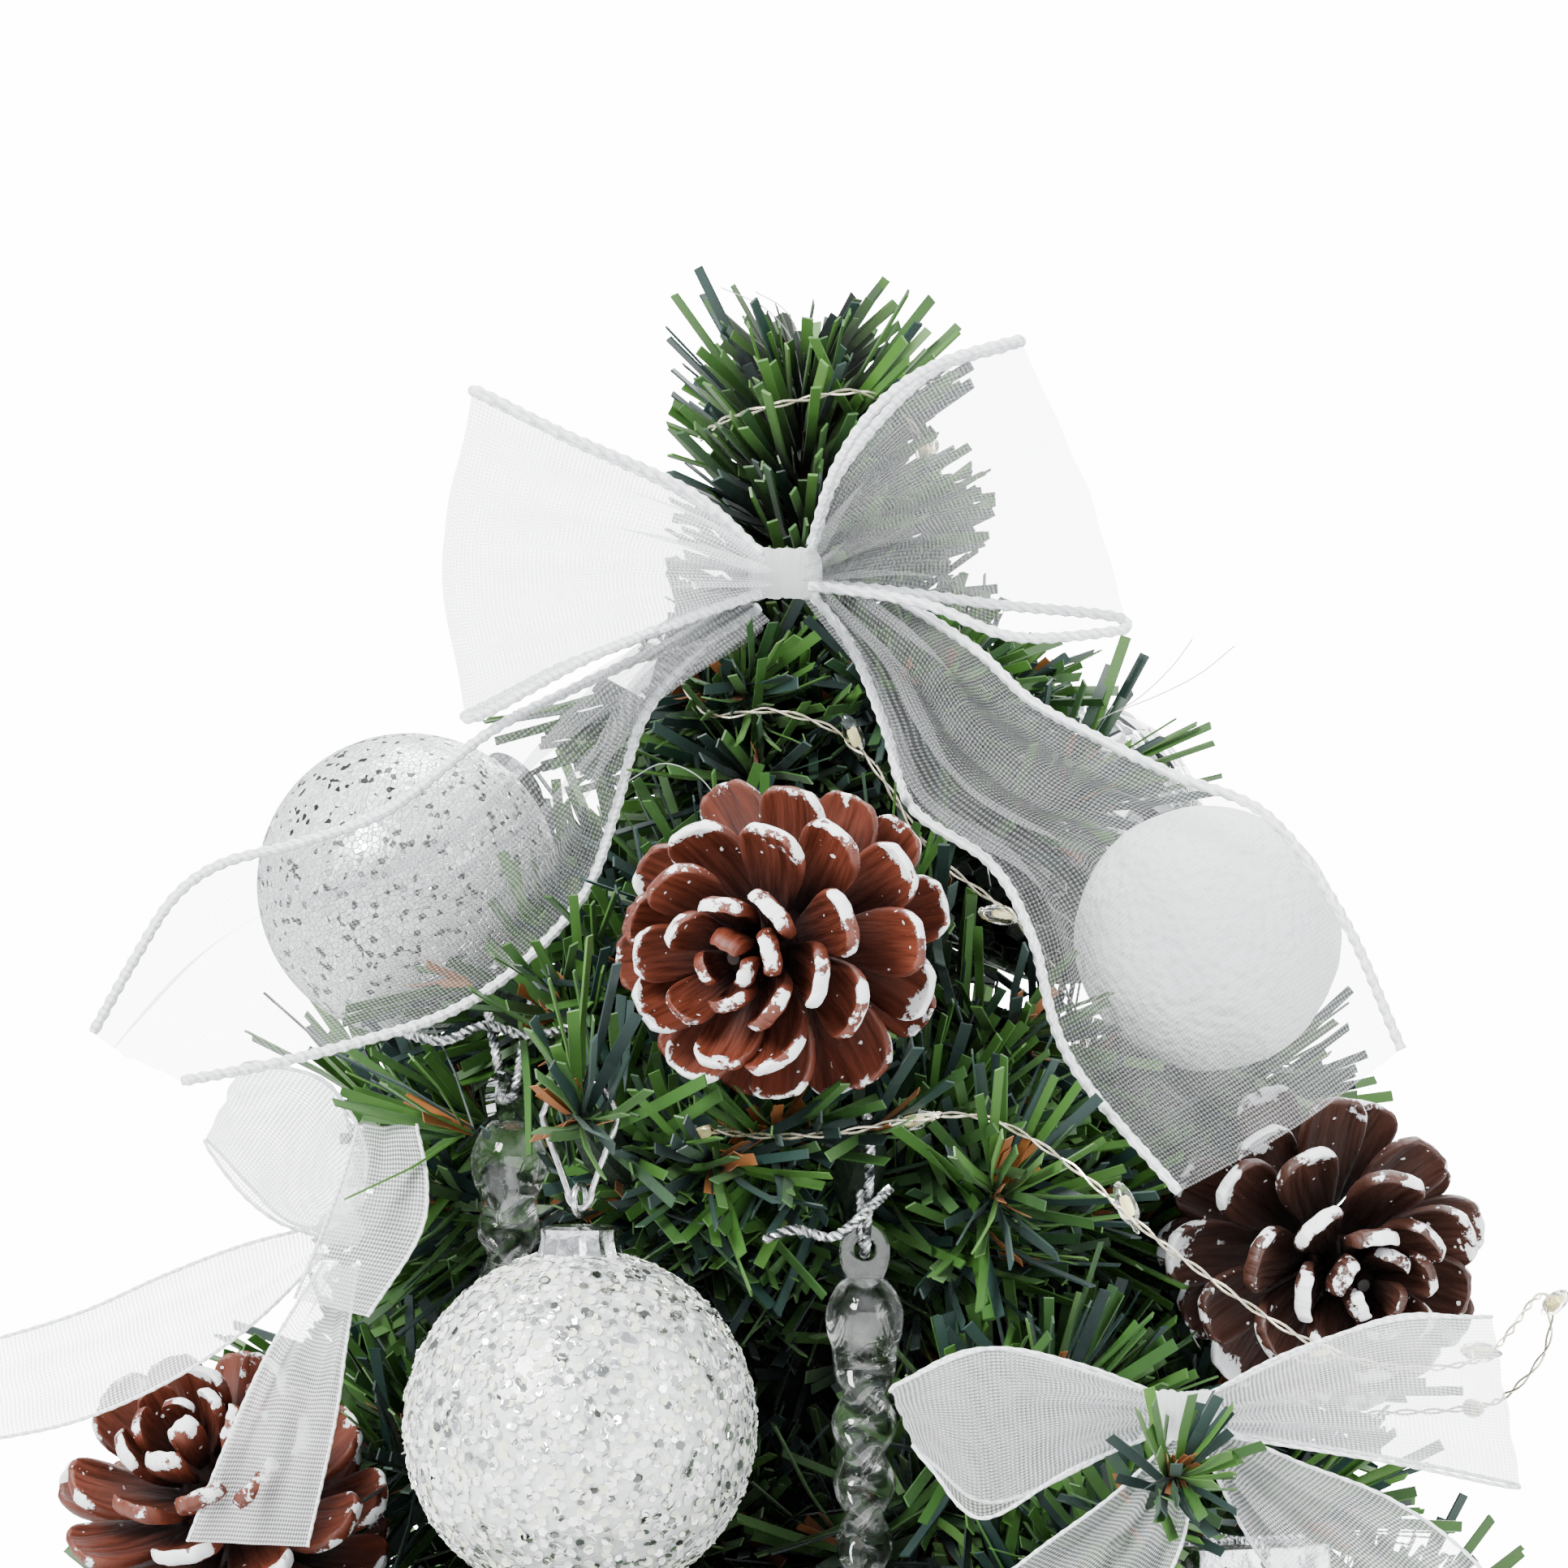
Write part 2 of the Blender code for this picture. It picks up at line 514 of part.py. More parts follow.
def add_tab(name, piece, eye, azimuth, foot, material):
    """Adds an upright tab to a piece, from a foot height up, with an eye for the loop."""
    across, thick = TAB
    top = eye.z + EYE_RADIUS + 1.1
    block_piece = bmesh.new()
    size = metres((across, thick, top - foot))
    turn = Matrix.Rotation(math.radians(azimuth), 4, "Z")
    middle = Matrix.Translation(metres((eye.x, eye.y, (top + foot) / 2)))
    bmesh.ops.create_cube(block_piece, size=1.0, matrix=middle @ turn @ Matrix.Diagonal((*size, 1.0)))
    combine(piece, finish_mesh(f"{name}_tab", block_piece, material), "UNION")
    drill = turned(f"{name}_eye", [(0, -5), (EYE_RADIUS, -5), (EYE_RADIUS, 5), (0, 5)], material,
                   centre=eye, aim=at_azimuth(azimuth + 90, 1, 0), segments=12)
    combine(piece, drill, "DIFFERENCE")


def ball_profile(radius):
    """A blown ball with an open neck at the top, outside then inside."""
    lean = math.asin(NECK_RADIUS / radius)
    inner = radius - WALL
    inner_lean = math.asin((NECK_RADIUS - WALL) / inner)
    count = 6
    outside = [
        (radius * math.sin(math.pi - (math.pi - lean) * i / count),
         radius * math.cos(math.pi - (math.pi - lean) * i / count)) for i in range(count + 1)
    ]
    inside = [
        (inner * math.sin(inner_lean + (math.pi - inner_lean) * i / count),
         inner * math.cos(inner_lean + (math.pi - inner_lean) * i / count)) for i in range(count + 1)
    ]
    top = outside[-1][1] + 2.0
    neck = [(NECK_RADIUS, top), (NECK_RADIUS - WALL, top)]
    return [(0, -radius), *outside[1:], *neck, *inside[:-1], (0, -inner)]


def cap_profile(radius):
    """A cup over the neck, from its rim on the ball to its crown."""
    seat = math.sqrt(radius ** 2 - CAP_RADIUS ** 2) + GAP
    top = seat + CAP_HEIGHT
    wide = NECK_RADIUS + GAP
    return [(0, top), (CAP_RADIUS - 0.6, top), (CAP_RADIUS, top - 0.8), (CAP_RADIUS, seat + 0.1),
            (wide, seat + 0.35), (wide, top - 0.8), (0, top - 0.8)]


def make_balls(materials):
    for name, (centre, radius, azimuth, hook) in BALLS.items():
        centre = Vector(centre)
        pivot = Vector((centre.x, centre.y, hook))
        turned(name, ball_profile(radius), materials["ball"], centre=centre, segments=14, origin=pivot)
        cap = turned(f"{name}_cap", cap_profile(radius), materials["silver"], centre=centre,
                     segments=12, origin=pivot)
        crown = centre.z + math.sqrt(radius ** 2 - CAP_RADIUS ** 2) + GAP + CAP_HEIGHT
        eye = Vector((centre.x, centre.y, crown + 1.5))
        add_tab(name, cap, eye, azimuth, crown - 0.5, materials["silver"])
        hanging_loop(f"{name}_hook", pivot, azimuth, eye.z, materials["silver"])
    for name, (centre, radius, aim) in TUCKED_BALLS.items():
        turned(name, ball_profile(radius), materials["ball"], centre=centre, aim=aim, segments=14)
        turned(f"{name}_cap", cap_profile(radius), materials["silver"], centre=centre, aim=aim,
               segments=12)


def make_snowballs(materials):
    for name, (centre, aim) in SNOWBALLS.items():
        arc = [(SNOWBALL_RADIUS * math.sin(math.pi * i / 8), -SNOWBALL_RADIUS * math.cos(math.pi * i / 8))
               for i in range(8)]
        tip = SNOWBALL_RADIUS + WIRE_TAIL
        profile = [(0, arc[0][1]), *arc[1:], (0.8, SNOWBALL_RADIUS - 0.4), (0.8, tip), (0, tip)]
        turned(name, profile, materials["snow"], centre=centre, aim=aim)


def make_cones(materials):
    """Each cone's rows of scales as steps, widest behind the middle, with a wire at the back."""
    for name, (centre, aim) in CONES.items():
        back = -CONE_LENGTH / 2
        profile = [(0, back - WIRE_TAIL), (0.8, back - WIRE_TAIL), (0.8, back)]
        for row in range(CONE_ROWS):
            share = (row + 0.6) / CONE_ROWS
            radius = CONE_RADIUS * math.sin(math.pi * (0.30 + 0.62 * share)) ** 0.8
            low = back + CONE_LENGTH * row / CONE_ROWS
            profile += [(radius * 0.62, low + 0.6), (radius, low + CONE_LENGTH / CONE_ROWS * 0.75)]
        profile += [(3.0, -back - 0.4), (0, -back)]
        turned(name, profile, materials["cone"], centre=centre, aim=aim, segments=12)


def make_icicles(materials):
    for name, (pivot, azimuth) in ICICLES.items():
        pivot = Vector(pivot)
        eye = pivot - Vector((0, 0, LOOP_DROP))
        top = eye.z - 3.0
        shape = bmesh.new()
        rings, steps = [], 18
        for i in range(steps + 1):
            share = i / steps
            radius = ICICLE_RADIUS * (1 - 0.72 * share ** 1.6) if i else ICICLE_RADIUS * 0.6
            turn = math.radians(azimuth + ICICLE_TWIST * share)
            rings.append([
                Vector((eye.x + radius * math.cos(turn + math.tau * k / 5),
                        eye.y + radius * math.sin(turn + math.tau * k / 5),
                        top - ICICLE_LENGTH * share)) for k in range(5)
            ])
        add_rings(shape, rings)
        body = finish_mesh(f"icicle_{name}", shape, materials["clear"], pivot)
        add_tab(f"icicle_{name}", body, eye, azimuth, top - 3.0, materials["clear"])
        hanging_loop(f"icicle_loop_{name}", pivot, azimuth, eye.z, materials["cord"])


def strip_piece(name, stations, material):
    shape = bmesh.new()
    add_strip(shape, stations)
    return finish_mesh(name, shape, material)


def knot_profile(size):
    return [(0, -size), (size * 0.75, -size * 0.9), (size, 0), (size * 0.75, size * 0.9), (0, size)]


def make_bows(materials):
    turned("bow_knot", knot_profile(KNOT_RADIUS), materials["ribbon"], centre=BOW_KNOT,
           aim=(1, 0, 0), segments=12)
    strip_piece("bow_loop_left", BOW_LOOP_LEFT, materials["ribbon"])
    strip_piece("bow_loop_right", BOW_LOOP_RIGHT, materials["ribbon"])
    strip_piece("bow_tail_left", BOW_TAIL_LEFT, materials["ribbon"])
    strip_piece("bow_tail_right", BOW_TAIL_RIGHT, materials["ribbon"])
    for name, (knot, strips) in SMALL_BOWS.items():
        bow = turned(f"small_bow_{name}", knot_profile(4.2), materials["ribbon"], centre=knot,
                     aim=(1, 0, 0), segments=12)
        for i, stations in enumerate(strips):
            other = strip_piece(f"small_bow_{name}_strip_{i}", stations, materials["ribbon"])
            combine(bow, other, "UNION")


def make_gift_box(materials):
    centre, size, turn = GIFT_BOX
    shape = bmesh.new()
    at = Matrix.Translation(metres(centre)) @ Matrix.Rotation(math.radians(turn), 4, "Z")
    bmesh.ops.create_cube(shape, size=1.0, matrix=at @ Matrix.Diagonal((*metres(size), 1.0)))
    bmesh.ops.bevel(shape, geom=shape.edges[:], offset=0.6 * MM, segments=1, affect="EDGES")
    finish_mesh("gift_box", shape, materials["silver"], centre)


def main():
    clear_scene()
    materials = {
        "brush": make_material("green_pvc", (0.05, 0.16, 0.06), 0.6),
        "trunk": make_material("green_wrap", (0.03, 0.09, 0.04), 0.5),
        "base": make_material("base_plastic", (0.18, 0.10, 0.05), 0.45),
        "steel": make_material("weight_steel", (0.45, 0.45, 0.46), 0.35, 1.0),
        "felt": make_material("felt", (0.08, 0.12, 0.08), 0.95),
        "cell": make_material("cell_jacket", (0.12, 0.12, 0.13), 0.4),
        "switch": make_material("switch_plastic", (0.02, 0.02, 0.02), 0.5),
        "wire": make_material("light_wire", (0.75, 0.68, 0.50), 0.3, 1.0),
        "ribbon": make_material("white_organza", (0.92, 0.93, 0.92), 0.5, 0.0, 0.8),
        "ball": make_material("silver_glitter", (0.80, 0.82, 0.83), 0.3, 0.8),
        "silver": make_material("silver_foil", (0.82, 0.82, 0.82), 0.2, 1.0),
        "snow": make_material("white_foam", (0.90, 0.91, 0.92), 0.9),
        "cone": make_material("cone_wood", (0.13, 0.05, 0.03), 0.75),
        "clear": make_material("clear_acrylic", (0.95, 0.97, 0.98), 0.05, 0.0, 0.3),
        "cord": make_material("silver_cord", (0.78, 0.79, 0.80), 0.4, 0.6),
    }
    make_base(materials)
    make_trunk(materials)
    make_tiers(materials)
    make_bending_branches(materials)
    make_string(materials)
    make_balls(materials)
    make_snowballs(materials)
    make_cones(materials)
    make_icicles(materials)
    make_bows(materials)
    make_gift_box(materials)


main()
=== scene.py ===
"""An artificial tabletop tree with its trimmings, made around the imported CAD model.

The needles, bows, balls, cones, icicles and lights are modelled here at the places where the CAD
nodes stand. Lengths are in millimetres until mesh_piece() turns them into metres.
"""

import json
import math

import bpy
import numpy as np
from mathutils import Matrix, Vector
from mathutils.bvhtree import BVHTree


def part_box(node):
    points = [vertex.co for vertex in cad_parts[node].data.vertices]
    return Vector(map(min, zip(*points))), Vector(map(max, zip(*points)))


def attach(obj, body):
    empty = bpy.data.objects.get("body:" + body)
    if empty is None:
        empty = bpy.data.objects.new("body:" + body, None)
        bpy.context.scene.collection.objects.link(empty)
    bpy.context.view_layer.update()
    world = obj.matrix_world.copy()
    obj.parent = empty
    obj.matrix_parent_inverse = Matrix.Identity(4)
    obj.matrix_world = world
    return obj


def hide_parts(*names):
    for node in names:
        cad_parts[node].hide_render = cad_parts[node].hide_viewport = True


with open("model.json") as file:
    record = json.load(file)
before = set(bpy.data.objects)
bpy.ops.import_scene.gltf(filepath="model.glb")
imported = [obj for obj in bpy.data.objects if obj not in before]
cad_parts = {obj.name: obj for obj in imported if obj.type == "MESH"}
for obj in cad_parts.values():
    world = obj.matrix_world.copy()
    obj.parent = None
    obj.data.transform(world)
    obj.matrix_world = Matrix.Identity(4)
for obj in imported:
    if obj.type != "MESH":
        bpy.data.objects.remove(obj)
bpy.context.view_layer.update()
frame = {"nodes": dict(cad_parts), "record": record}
NODES = frame["nodes"]
BODY_OF = {node: body for body, nodes in frame["record"]["behaviour"]["bodies"].items() for node in nodes}
MM = 0.001
GOLDEN = math.radians(137.508)
WAVE_SCALE = 0.314  # a wave texture's scale for bands one unit apart
WARP_PITCH, WEFT_PITCH = 0.50, 0.42


# ---- small tools -------------------------------------------------------------------------------


def vec(*values):
    return np.array(values, float)


def unit(v):
    v = np.asarray(v, float)
    return v / np.maximum(np.linalg.norm(v, axis=-1, keepdims=True), 1e-9)


def around(azimuth, radius, height):
    turn = math.radians(azimuth)
    return vec(radius * math.cos(turn), radius * math.sin(turn), height)


def smooth(points, steps):
    """A Catmull-Rom line through the points, with that many steps between them."""
    p = np.asarray(points, float)
    p = np.vstack([2 * p[0] - p[1], p, 2 * p[-1] - p[-2]])
    line = []
    for i in range(len(p) - 3):
        t = np.arange(steps)[:, None] / steps
        a, b, c, d = p[i:i + 4]
        line.append(0.5 * (2 * b + (c - a) * t + (2 * a - 5 * b + 4 * c - d) * t ** 2
                           + (3 * b - a - 3 * c + d) * t ** 3))
    return np.vstack([*line, p[-2]])


def even(points, count):
    """The same line with that many points, evenly apart."""
    p = np.asarray(points, float)
    run = np.concatenate([[0], np.cumsum(np.linalg.norm(np.diff(p, axis=0), axis=1))])
    at = np.linspace(0, run[-1], count)
    return np.stack([np.interp(at, run, p[:, k]) for k in range(3)], 1)


def line_length(points):
    return float(np.linalg.norm(np.diff(points, axis=0), axis=1).sum())


def carried_frames(points, cyclic=False):
    """Two directions across a line at each point, carried along it without twist."""
    p = np.asarray(points, float)
    if cyclic:
        along = unit(np.roll(p, -1, 0) - np.roll(p, 1, 0))
    else:
        along = unit(np.gradient(p, axis=0))
    first = np.cross(along[0], (0, 0, 1.0))
    if np.linalg.norm(first) < 0.1:
        first = np.cross(along[0], (1.0, 0, 0))
    sides = [unit(first)]
    for direction in along[1:]:
        side = sides[-1] - direction * np.dot(sides[-1], direction)
        sides.append(unit(side))
    sides = np.array(sides)
    return along, sides, np.cross(along, sides)


def tube_mesh(points, radius, sides=6, cyclic=False):
    """Vertices and faces of a round tube along the points."""
    p = np.asarray(points, float)
    count = len(p)
    _, a, b = carried_frames(p, cyclic)
    radius = np.broadcast_to(radius, (count,))[:, None, None]
    turn = (math.tau * np.arange(sides) / sides)[None, :, None]
    ring = a[:, None, :] * np.cos(turn) + b[:, None, :] * np.sin(turn)
    verts = (p[:, None, :] + ring * radius).reshape(-1, 3)
    rows = count if cyclic else count - 1
    i = np.arange(rows)[:, None] * sides
    far = (np.arange(rows)[:, None] + 1) % count * sides
    k = np.arange(sides)[None, :]
    j = (k + 1) % sides
    faces = np.stack([i + k, i + j, far + j, far + k], -1).reshape(-1, 4).tolist()
    if not cyclic:
        faces.append(list(range(sides))[::-1])
        faces.append([(count - 1) * sides + s for s in range(sides)])
    return verts, faces


def join_meshes(parts):
    """One list of vertices and one of faces from several."""
    verts, faces, base = [], [], 0
    for part_verts, part_faces in parts:
        verts.append(part_verts)
        faces += [[index + base for index in face] for face in part_faces]
        base += len(part_verts)
    return np.vstack(verts), faces


def twisted_pair(points, strand, pitch, strands=2, sides=5, step=1.0, apart=0.0):
    """Strands wound round one another along a line."""
    line = even(points, max(4, int(line_length(points) / step)))
    run = np.linspace(0, line_length(line), len(line))
    _, a, b = carried_frames(line)
    parts = []
    for s in range(strands):
        turn = (math.tau * (run / pitch + s / strands))[:, None]
        offset = apart or strand * (1.0 if strands == 2 else 1.12)
        parts.append(tube_mesh(line + (a * np.cos(turn) + b * np.sin(turn)) * offset, strand, sides))
    return join_meshes(parts)


def mesh_piece(name, verts, faces, material, body, node=None, smooth_angle=40):
    """A finished piece from lists, riding on a body and standing for a CAD node if one is given."""
    mesh = bpy.data.meshes.new(name)
    mesh.from_pydata((np.asarray(verts) * MM).tolist(), [], faces)
    mesh.update()
    mesh.materials.append(material)
    if smooth_angle:
        mesh.shade_smooth()
        mesh.set_sharp_from_angle(angle=math.radians(smooth_angle))
    piece = bpy.data.objects.new(name, mesh)
    bpy.context.scene.collection.objects.link(piece)
    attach(piece, body)
    if node:
        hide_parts(node)
    return piece


def deselect():
    if bpy.context.mode != "OBJECT":
        bpy.ops.object.mode_set(mode="OBJECT")
    bpy.ops.object.select_all(action="DESELECT")


def edit(piece):
    deselect()
    bpy.context.view_layer.objects.active = piece
    piece.select_set(True)
    bpy.ops.object.mode_set(mode="EDIT")
    bpy.ops.mesh.select_all(action="DESELECT")


def pick(piece, test, mode="FACE"):
    """Selects the faces or vertices that pass the test, and returns to edit mode."""
    bpy.ops.object.mode_set(mode="EDIT")
    bpy.ops.mesh.select_mode(type=mode)
    bpy.ops.mesh.select_all(action="DESELECT")
    bpy.ops.object.mode_set(mode="OBJECT")
    mesh = piece.data
    if mode == "FACE":
        for face in mesh.polygons:
            face.select = bool(test(face.center, face.normal))
    else:
        for vertex in mesh.vertices:
            vertex.select = bool(test(vertex.co))
    bpy.ops.object.mode_set(mode="EDIT")


def apply_all(piece):
    deselect()
    bpy.context.view_layer.objects.active = piece
    piece.select_set(True)
    for step in list(piece.modifiers):
        bpy.ops.object.modifier_apply(modifier=step.name)


def take_mesh(piece):
    """The vertices in millimetres and the faces of a pattern piece, which is then thrown away."""
    deselect()
    mesh = piece.data
    verts = np.array([v.co for v in mesh.vertices]) / MM
    faces = [list(face.vertices) for face in mesh.polygons]
    bpy.data.objects.remove(piece)
    return verts, faces


def repeat_shape(verts, faces, places):
    """Copies of one shape. places is an array of 4 x 4 matrices, in millimetres."""
    count, size = len(places), len(verts)
    full = np.hstack([verts, np.ones((size, 1))])
    moved = np.einsum("nij,vj->nvi", places, full)[..., :3].reshape(-1, 3)
    by_length = {}
    for face in faces:
        by_length.setdefault(len(face), []).append(face)
    all_faces = []
    for group in by_length.values():
        group = np.array(group)
        shift = (np.arange(count) * size)[:, None, None]
        all_faces += (group[None] + shift).reshape(-1, group.shape[1]).tolist()
    return moved, all_faces


def placing(origin, x, y, z):
    """4 x 4 matrices from arrays of origins and axes."""
    out = np.zeros((len(origin), 4, 4))
    out[:, :3, 0], out[:, :3, 1], out[:, :3, 2], out[:, :3, 3] = x, y, z, origin
    out[:, 3, 3] = 1
    return out


def point_values(mesh, name, values):
    layer = mesh.attributes.new(name, "FLOAT", "POINT")
    layer.data.foreach_set("value", np.asarray(values, np.float32))


# ---- finishes ----------------------------------------------------------------------------------


class Finish:
    """A material's nodes, with short calls for the ones that are used often."""

    def __init__(self, name):
        self.material = bpy.data.materials.new(name)
        self.material.use_nodes = True
        self.tree = self.material.node_tree
        self.shader = self.tree.nodes["Principled BSDF"]
        self.output = self.tree.nodes["Material Output"]
        self.place = self.add("ShaderNodeTexCoord").outputs["Object"]

    def add(self, kind, **values):
        node = self.tree.nodes.new(kind)
        for key, value in values.items():
            setattr(node, key, value)
        return node

    def link(self, source, target):
        self.tree.links.new(source, target)

    def feed(self, socket, value):
        if hasattr(value, "links"):
            self.link(value, socket)
        elif isinstance(value, tuple) and len(value) == 3 and len(socket.default_value) == 4:
            socket.default_value = (*value, 1.0)
        else:
            socket.default_value = value

    def set(self, **values):
        for key, value in values.items():
            self.feed(self.shader.inputs[key.replace("_", " ")], value)
        return self

    def attribute(self, name):
        return self.add("ShaderNodeAttribute", attribute_name=name).outputs["Fac"]

    def uv(self):
        return self.add("ShaderNodeUVMap", uv_map="weave").outputs["UV"]

    def noise(self, scale, detail=3.0, rough=0.55, place=None):
        node = self.add("ShaderNodeTexNoise")
        self.link(place or self.place, node.inputs["Vector"])
        node.inputs["Scale"].default_value = scale
        node.inputs["Detail"].default_value = detail
        node.inputs["Roughness"].default_value = rough
        return node.outputs["Fac"]

    def cells(self, scale, feature="F1", out="Distance"):
        node = self.add("ShaderNodeTexVoronoi", feature=feature)
        self.link(self.place, node.inputs["Vector"])
        node.inputs["Scale"].default_value = scale
        return node.outputs[out]

    def stretch(self, scale, place=None, turn=(0, 0, 0)):
        node = self.add("ShaderNodeMapping")
        self.link(place or self.place, node.inputs["Vector"])
        node.inputs["Scale"].default_value = scale
        node.inputs["Rotation"].default_value = turn
        return node.outputs[0]

    def wave(self, scale, direction="X", place=None, distort=0.0, profile="SIN"):
        node = self.add("ShaderNodeTexWave", bands_direction=direction, wave_profile=profile)
        self.link(place or self.place, node.inputs["Vector"])
        node.inputs["Scale"].default_value = scale
        node.inputs["Distortion"].default_value = distort
        return node.outputs["Fac"]

    def ramp(self, value, *stops):
        """Colours or greys at places along 0 to 1."""
        node = self.add("ShaderNodeValToRGB")
        self.link(value, node.inputs[0])
        points = node.color_ramp.elements
        while len(points) < len(stops):
            points.new(0.5)
        for point, (at, colour) in zip(points, stops):
            point.position = at
            point.color = (*colour, 1.0) if isinstance(colour, tuple) else (colour, colour, colour, 1.0)
        return node.outputs[0]

    def mix(self, factor, a, b, how="MIX"):
        node = self.add("ShaderNodeMix", data_type="RGBA", blend_type=how)
        self.feed(node.inputs[0], factor)
        self.feed(node.inputs[6], a)
        self.feed(node.inputs[7], b)
        return node.outputs[2]

    def math(self, how, a, b=0.0):
        node = self.add("ShaderNodeMath", operation=how)
        self.feed(node.inputs[0], a)
        self.feed(node.inputs[1], b)
        return node.outputs[0]

    def bump(self, height, distance, strength=1.0):
        """distance is in millimetres."""
        node = self.add("ShaderNodeBump")
        node.inputs["Strength"].default_value = strength
        node.inputs["Distance"].default_value = distance * MM
        self.link(height, node.inputs["Height"])
        self.link(node.outputs[0], self.shader.inputs["Normal"])
        return self


def needle_finish():
    f = Finish("cut_pvc_needle")
    tone = f.attribute("tone")
    patch = f.noise(90.0, 2.0)
    shade = f.math("ADD", tone, f.math("MULTIPLY", f.math("SUBTRACT", patch, 0.5), 0.22))
    colour = f.ramp(shade, (0.0, (0.0025, 0.014, 0.013)), (0.34, (0.004, 0.026, 0.019)),
                    (0.46, (0.010, 0.050, 0.005)), (0.80, (0.042, 0.132, 0.011)),
                    (0.88, (0.080, 0.190, 0.032)), (0.93, (0.23, 0.080, 0.016)))
    # Painted shade: the needles darken towards the trunk, inside a cone that narrows upwards, where the
    # inside of the tree lies in shade.
    parts = f.add("ShaderNodeSeparateXYZ")
    f.link(f.place, parts.inputs[0])
    squares = [f.math("POWER", parts.outputs[k], 2.0) for k in (0, 1)]
    out = f.math("SQRT", f.math("ADD", *squares))
    edge = f.math("MULTIPLY_ADD", f.math("SUBTRACT", 0.44, parts.outputs[2]), 0.40)
    edge.node.inputs[2].default_value = 0.016
    depth = f.ramp(f.math("DIVIDE", out, edge), (0.38, 0.10), (0.94, 1.0))
    colour = f.mix(1.0, colour, depth, "MULTIPLY")
    f.set(Base_Color=colour, Roughness=f.ramp(patch, (0.3, 0.42), (0.7, 0.62)), IOR=1.5)
    f.set(Sheen_Weight=0.05)
    return f.bump(f.noise(2600.0, 2.0), 0.03, 0.4).material


def core_finish():
    f = Finish("needle_roots")
    fibres = f.noise(700.0, 3.0, place=f.stretch((1, 1, 0.35)))
    colour = f.ramp(fibres, (0.3, (0.002, 0.008, 0.004)), (0.6, (0.005, 0.020, 0.007)),
                    (0.75, (0.02, 0.011, 0.005)))
    f.set(Base_Color=colour, Roughness=0.7)
    return f.bump(fibres, 0.5).material


def tape_finish():
    f = Finish("green_trunk_tape")
    winding = f.wave(48.0, "Z", place=f.stretch((1, 1, 1), turn=(0.25, 0, 0)), profile="SAW")
    grain = f.noise(1500.0)
    f.set(Base_Color=f.mix(winding, (0.008, 0.035, 0.014), (0.020, 0.070, 0.028)),
          Roughness=f.ramp(grain, (0.3, 0.45), (0.7, 0.65)))
    return f.bump(f.math("ADD", winding, f.math("MULTIPLY", grain, 0.2)), 0.25).material


def wood_base_finish():
    f = Finish("brown_moulded_base")
    rings = f.wave(14.0, "X", place=f.stretch((1, 0.12, 0.35)), distort=5.0)
    grain = f.noise(240.0, 5.0, place=f.stretch((1, 0.08, 1)))
    colour = f.mix(f.ramp(rings, (0.2, 0.0), (0.8, 1.0)), (0.070, 0.030, 0.013), (0.140, 0.066, 0.030))
    colour = f.mix(f.ramp(grain, (0.42, 0.0), (0.62, 0.65)), colour, (0.045, 0.019, 0.009))
    f.set(Base_Color=colour, Roughness=f.ramp(grain, (0.3, 0.38), (0.7, 0.55)), Coat_Weight=0.15)
    f.set(Coat_Roughness=0.3)
    return f.bump(grain, 0.12, 0.6).material


def plain_finish(name, dark, light, rough, metal=0.0, scale=900.0, depth=0.05):
    """A moulded, felted or drawn surface with a fine grain."""
    f = Finish(name)
    grain = f.noise(scale, 4.0)
    f.set(Base_Color=f.mix(grain, dark, light), Metallic=metal,
          Roughness=f.ramp(grain, (0.3, rough), (0.7, min(1.0, rough + 0.2))))
    return f.bump(grain, depth).material


def wire_finish():
    f = Finish("pale_gold_wire")
    streak = f.noise(900.0, 2.0)
    f.set(Base_Color=f.mix(streak, (0.72, 0.60, 0.38), (0.95, 0.90, 0.78)), Metallic=0.8,
          Roughness=f.ramp(streak, (0.3, 0.2), (0.7, 0.4)))
    return f.material


def clear_finish(name, tint, rough, ripple, plain=0.0, bend=1.42):
    """Clear moulded plastic; plain is the share of light that passes without bending."""
    f = Finish(name)
    swirl = f.noise(120.0, 1.0)
    f.set(Base_Color=f.mix(swirl, tint, (1.0, 1.0, 1.0)), Roughness=rough, IOR=bend,
          Transmission_Weight=1.0, Coat_Weight=1.0)
    f.bump(swirl, ripple, 0.5)
    if plain:
        clear = f.add("ShaderNodeBsdfTransparent")
        both = f.add("ShaderNodeMixShader")
        both.inputs[0].default_value = plain
        f.link(f.shader.outputs[0], both.inputs[1])
        f.link(clear.outputs[0], both.inputs[2])
        f.link(both.outputs[0], f.output.inputs["Surface"])
    return f.material


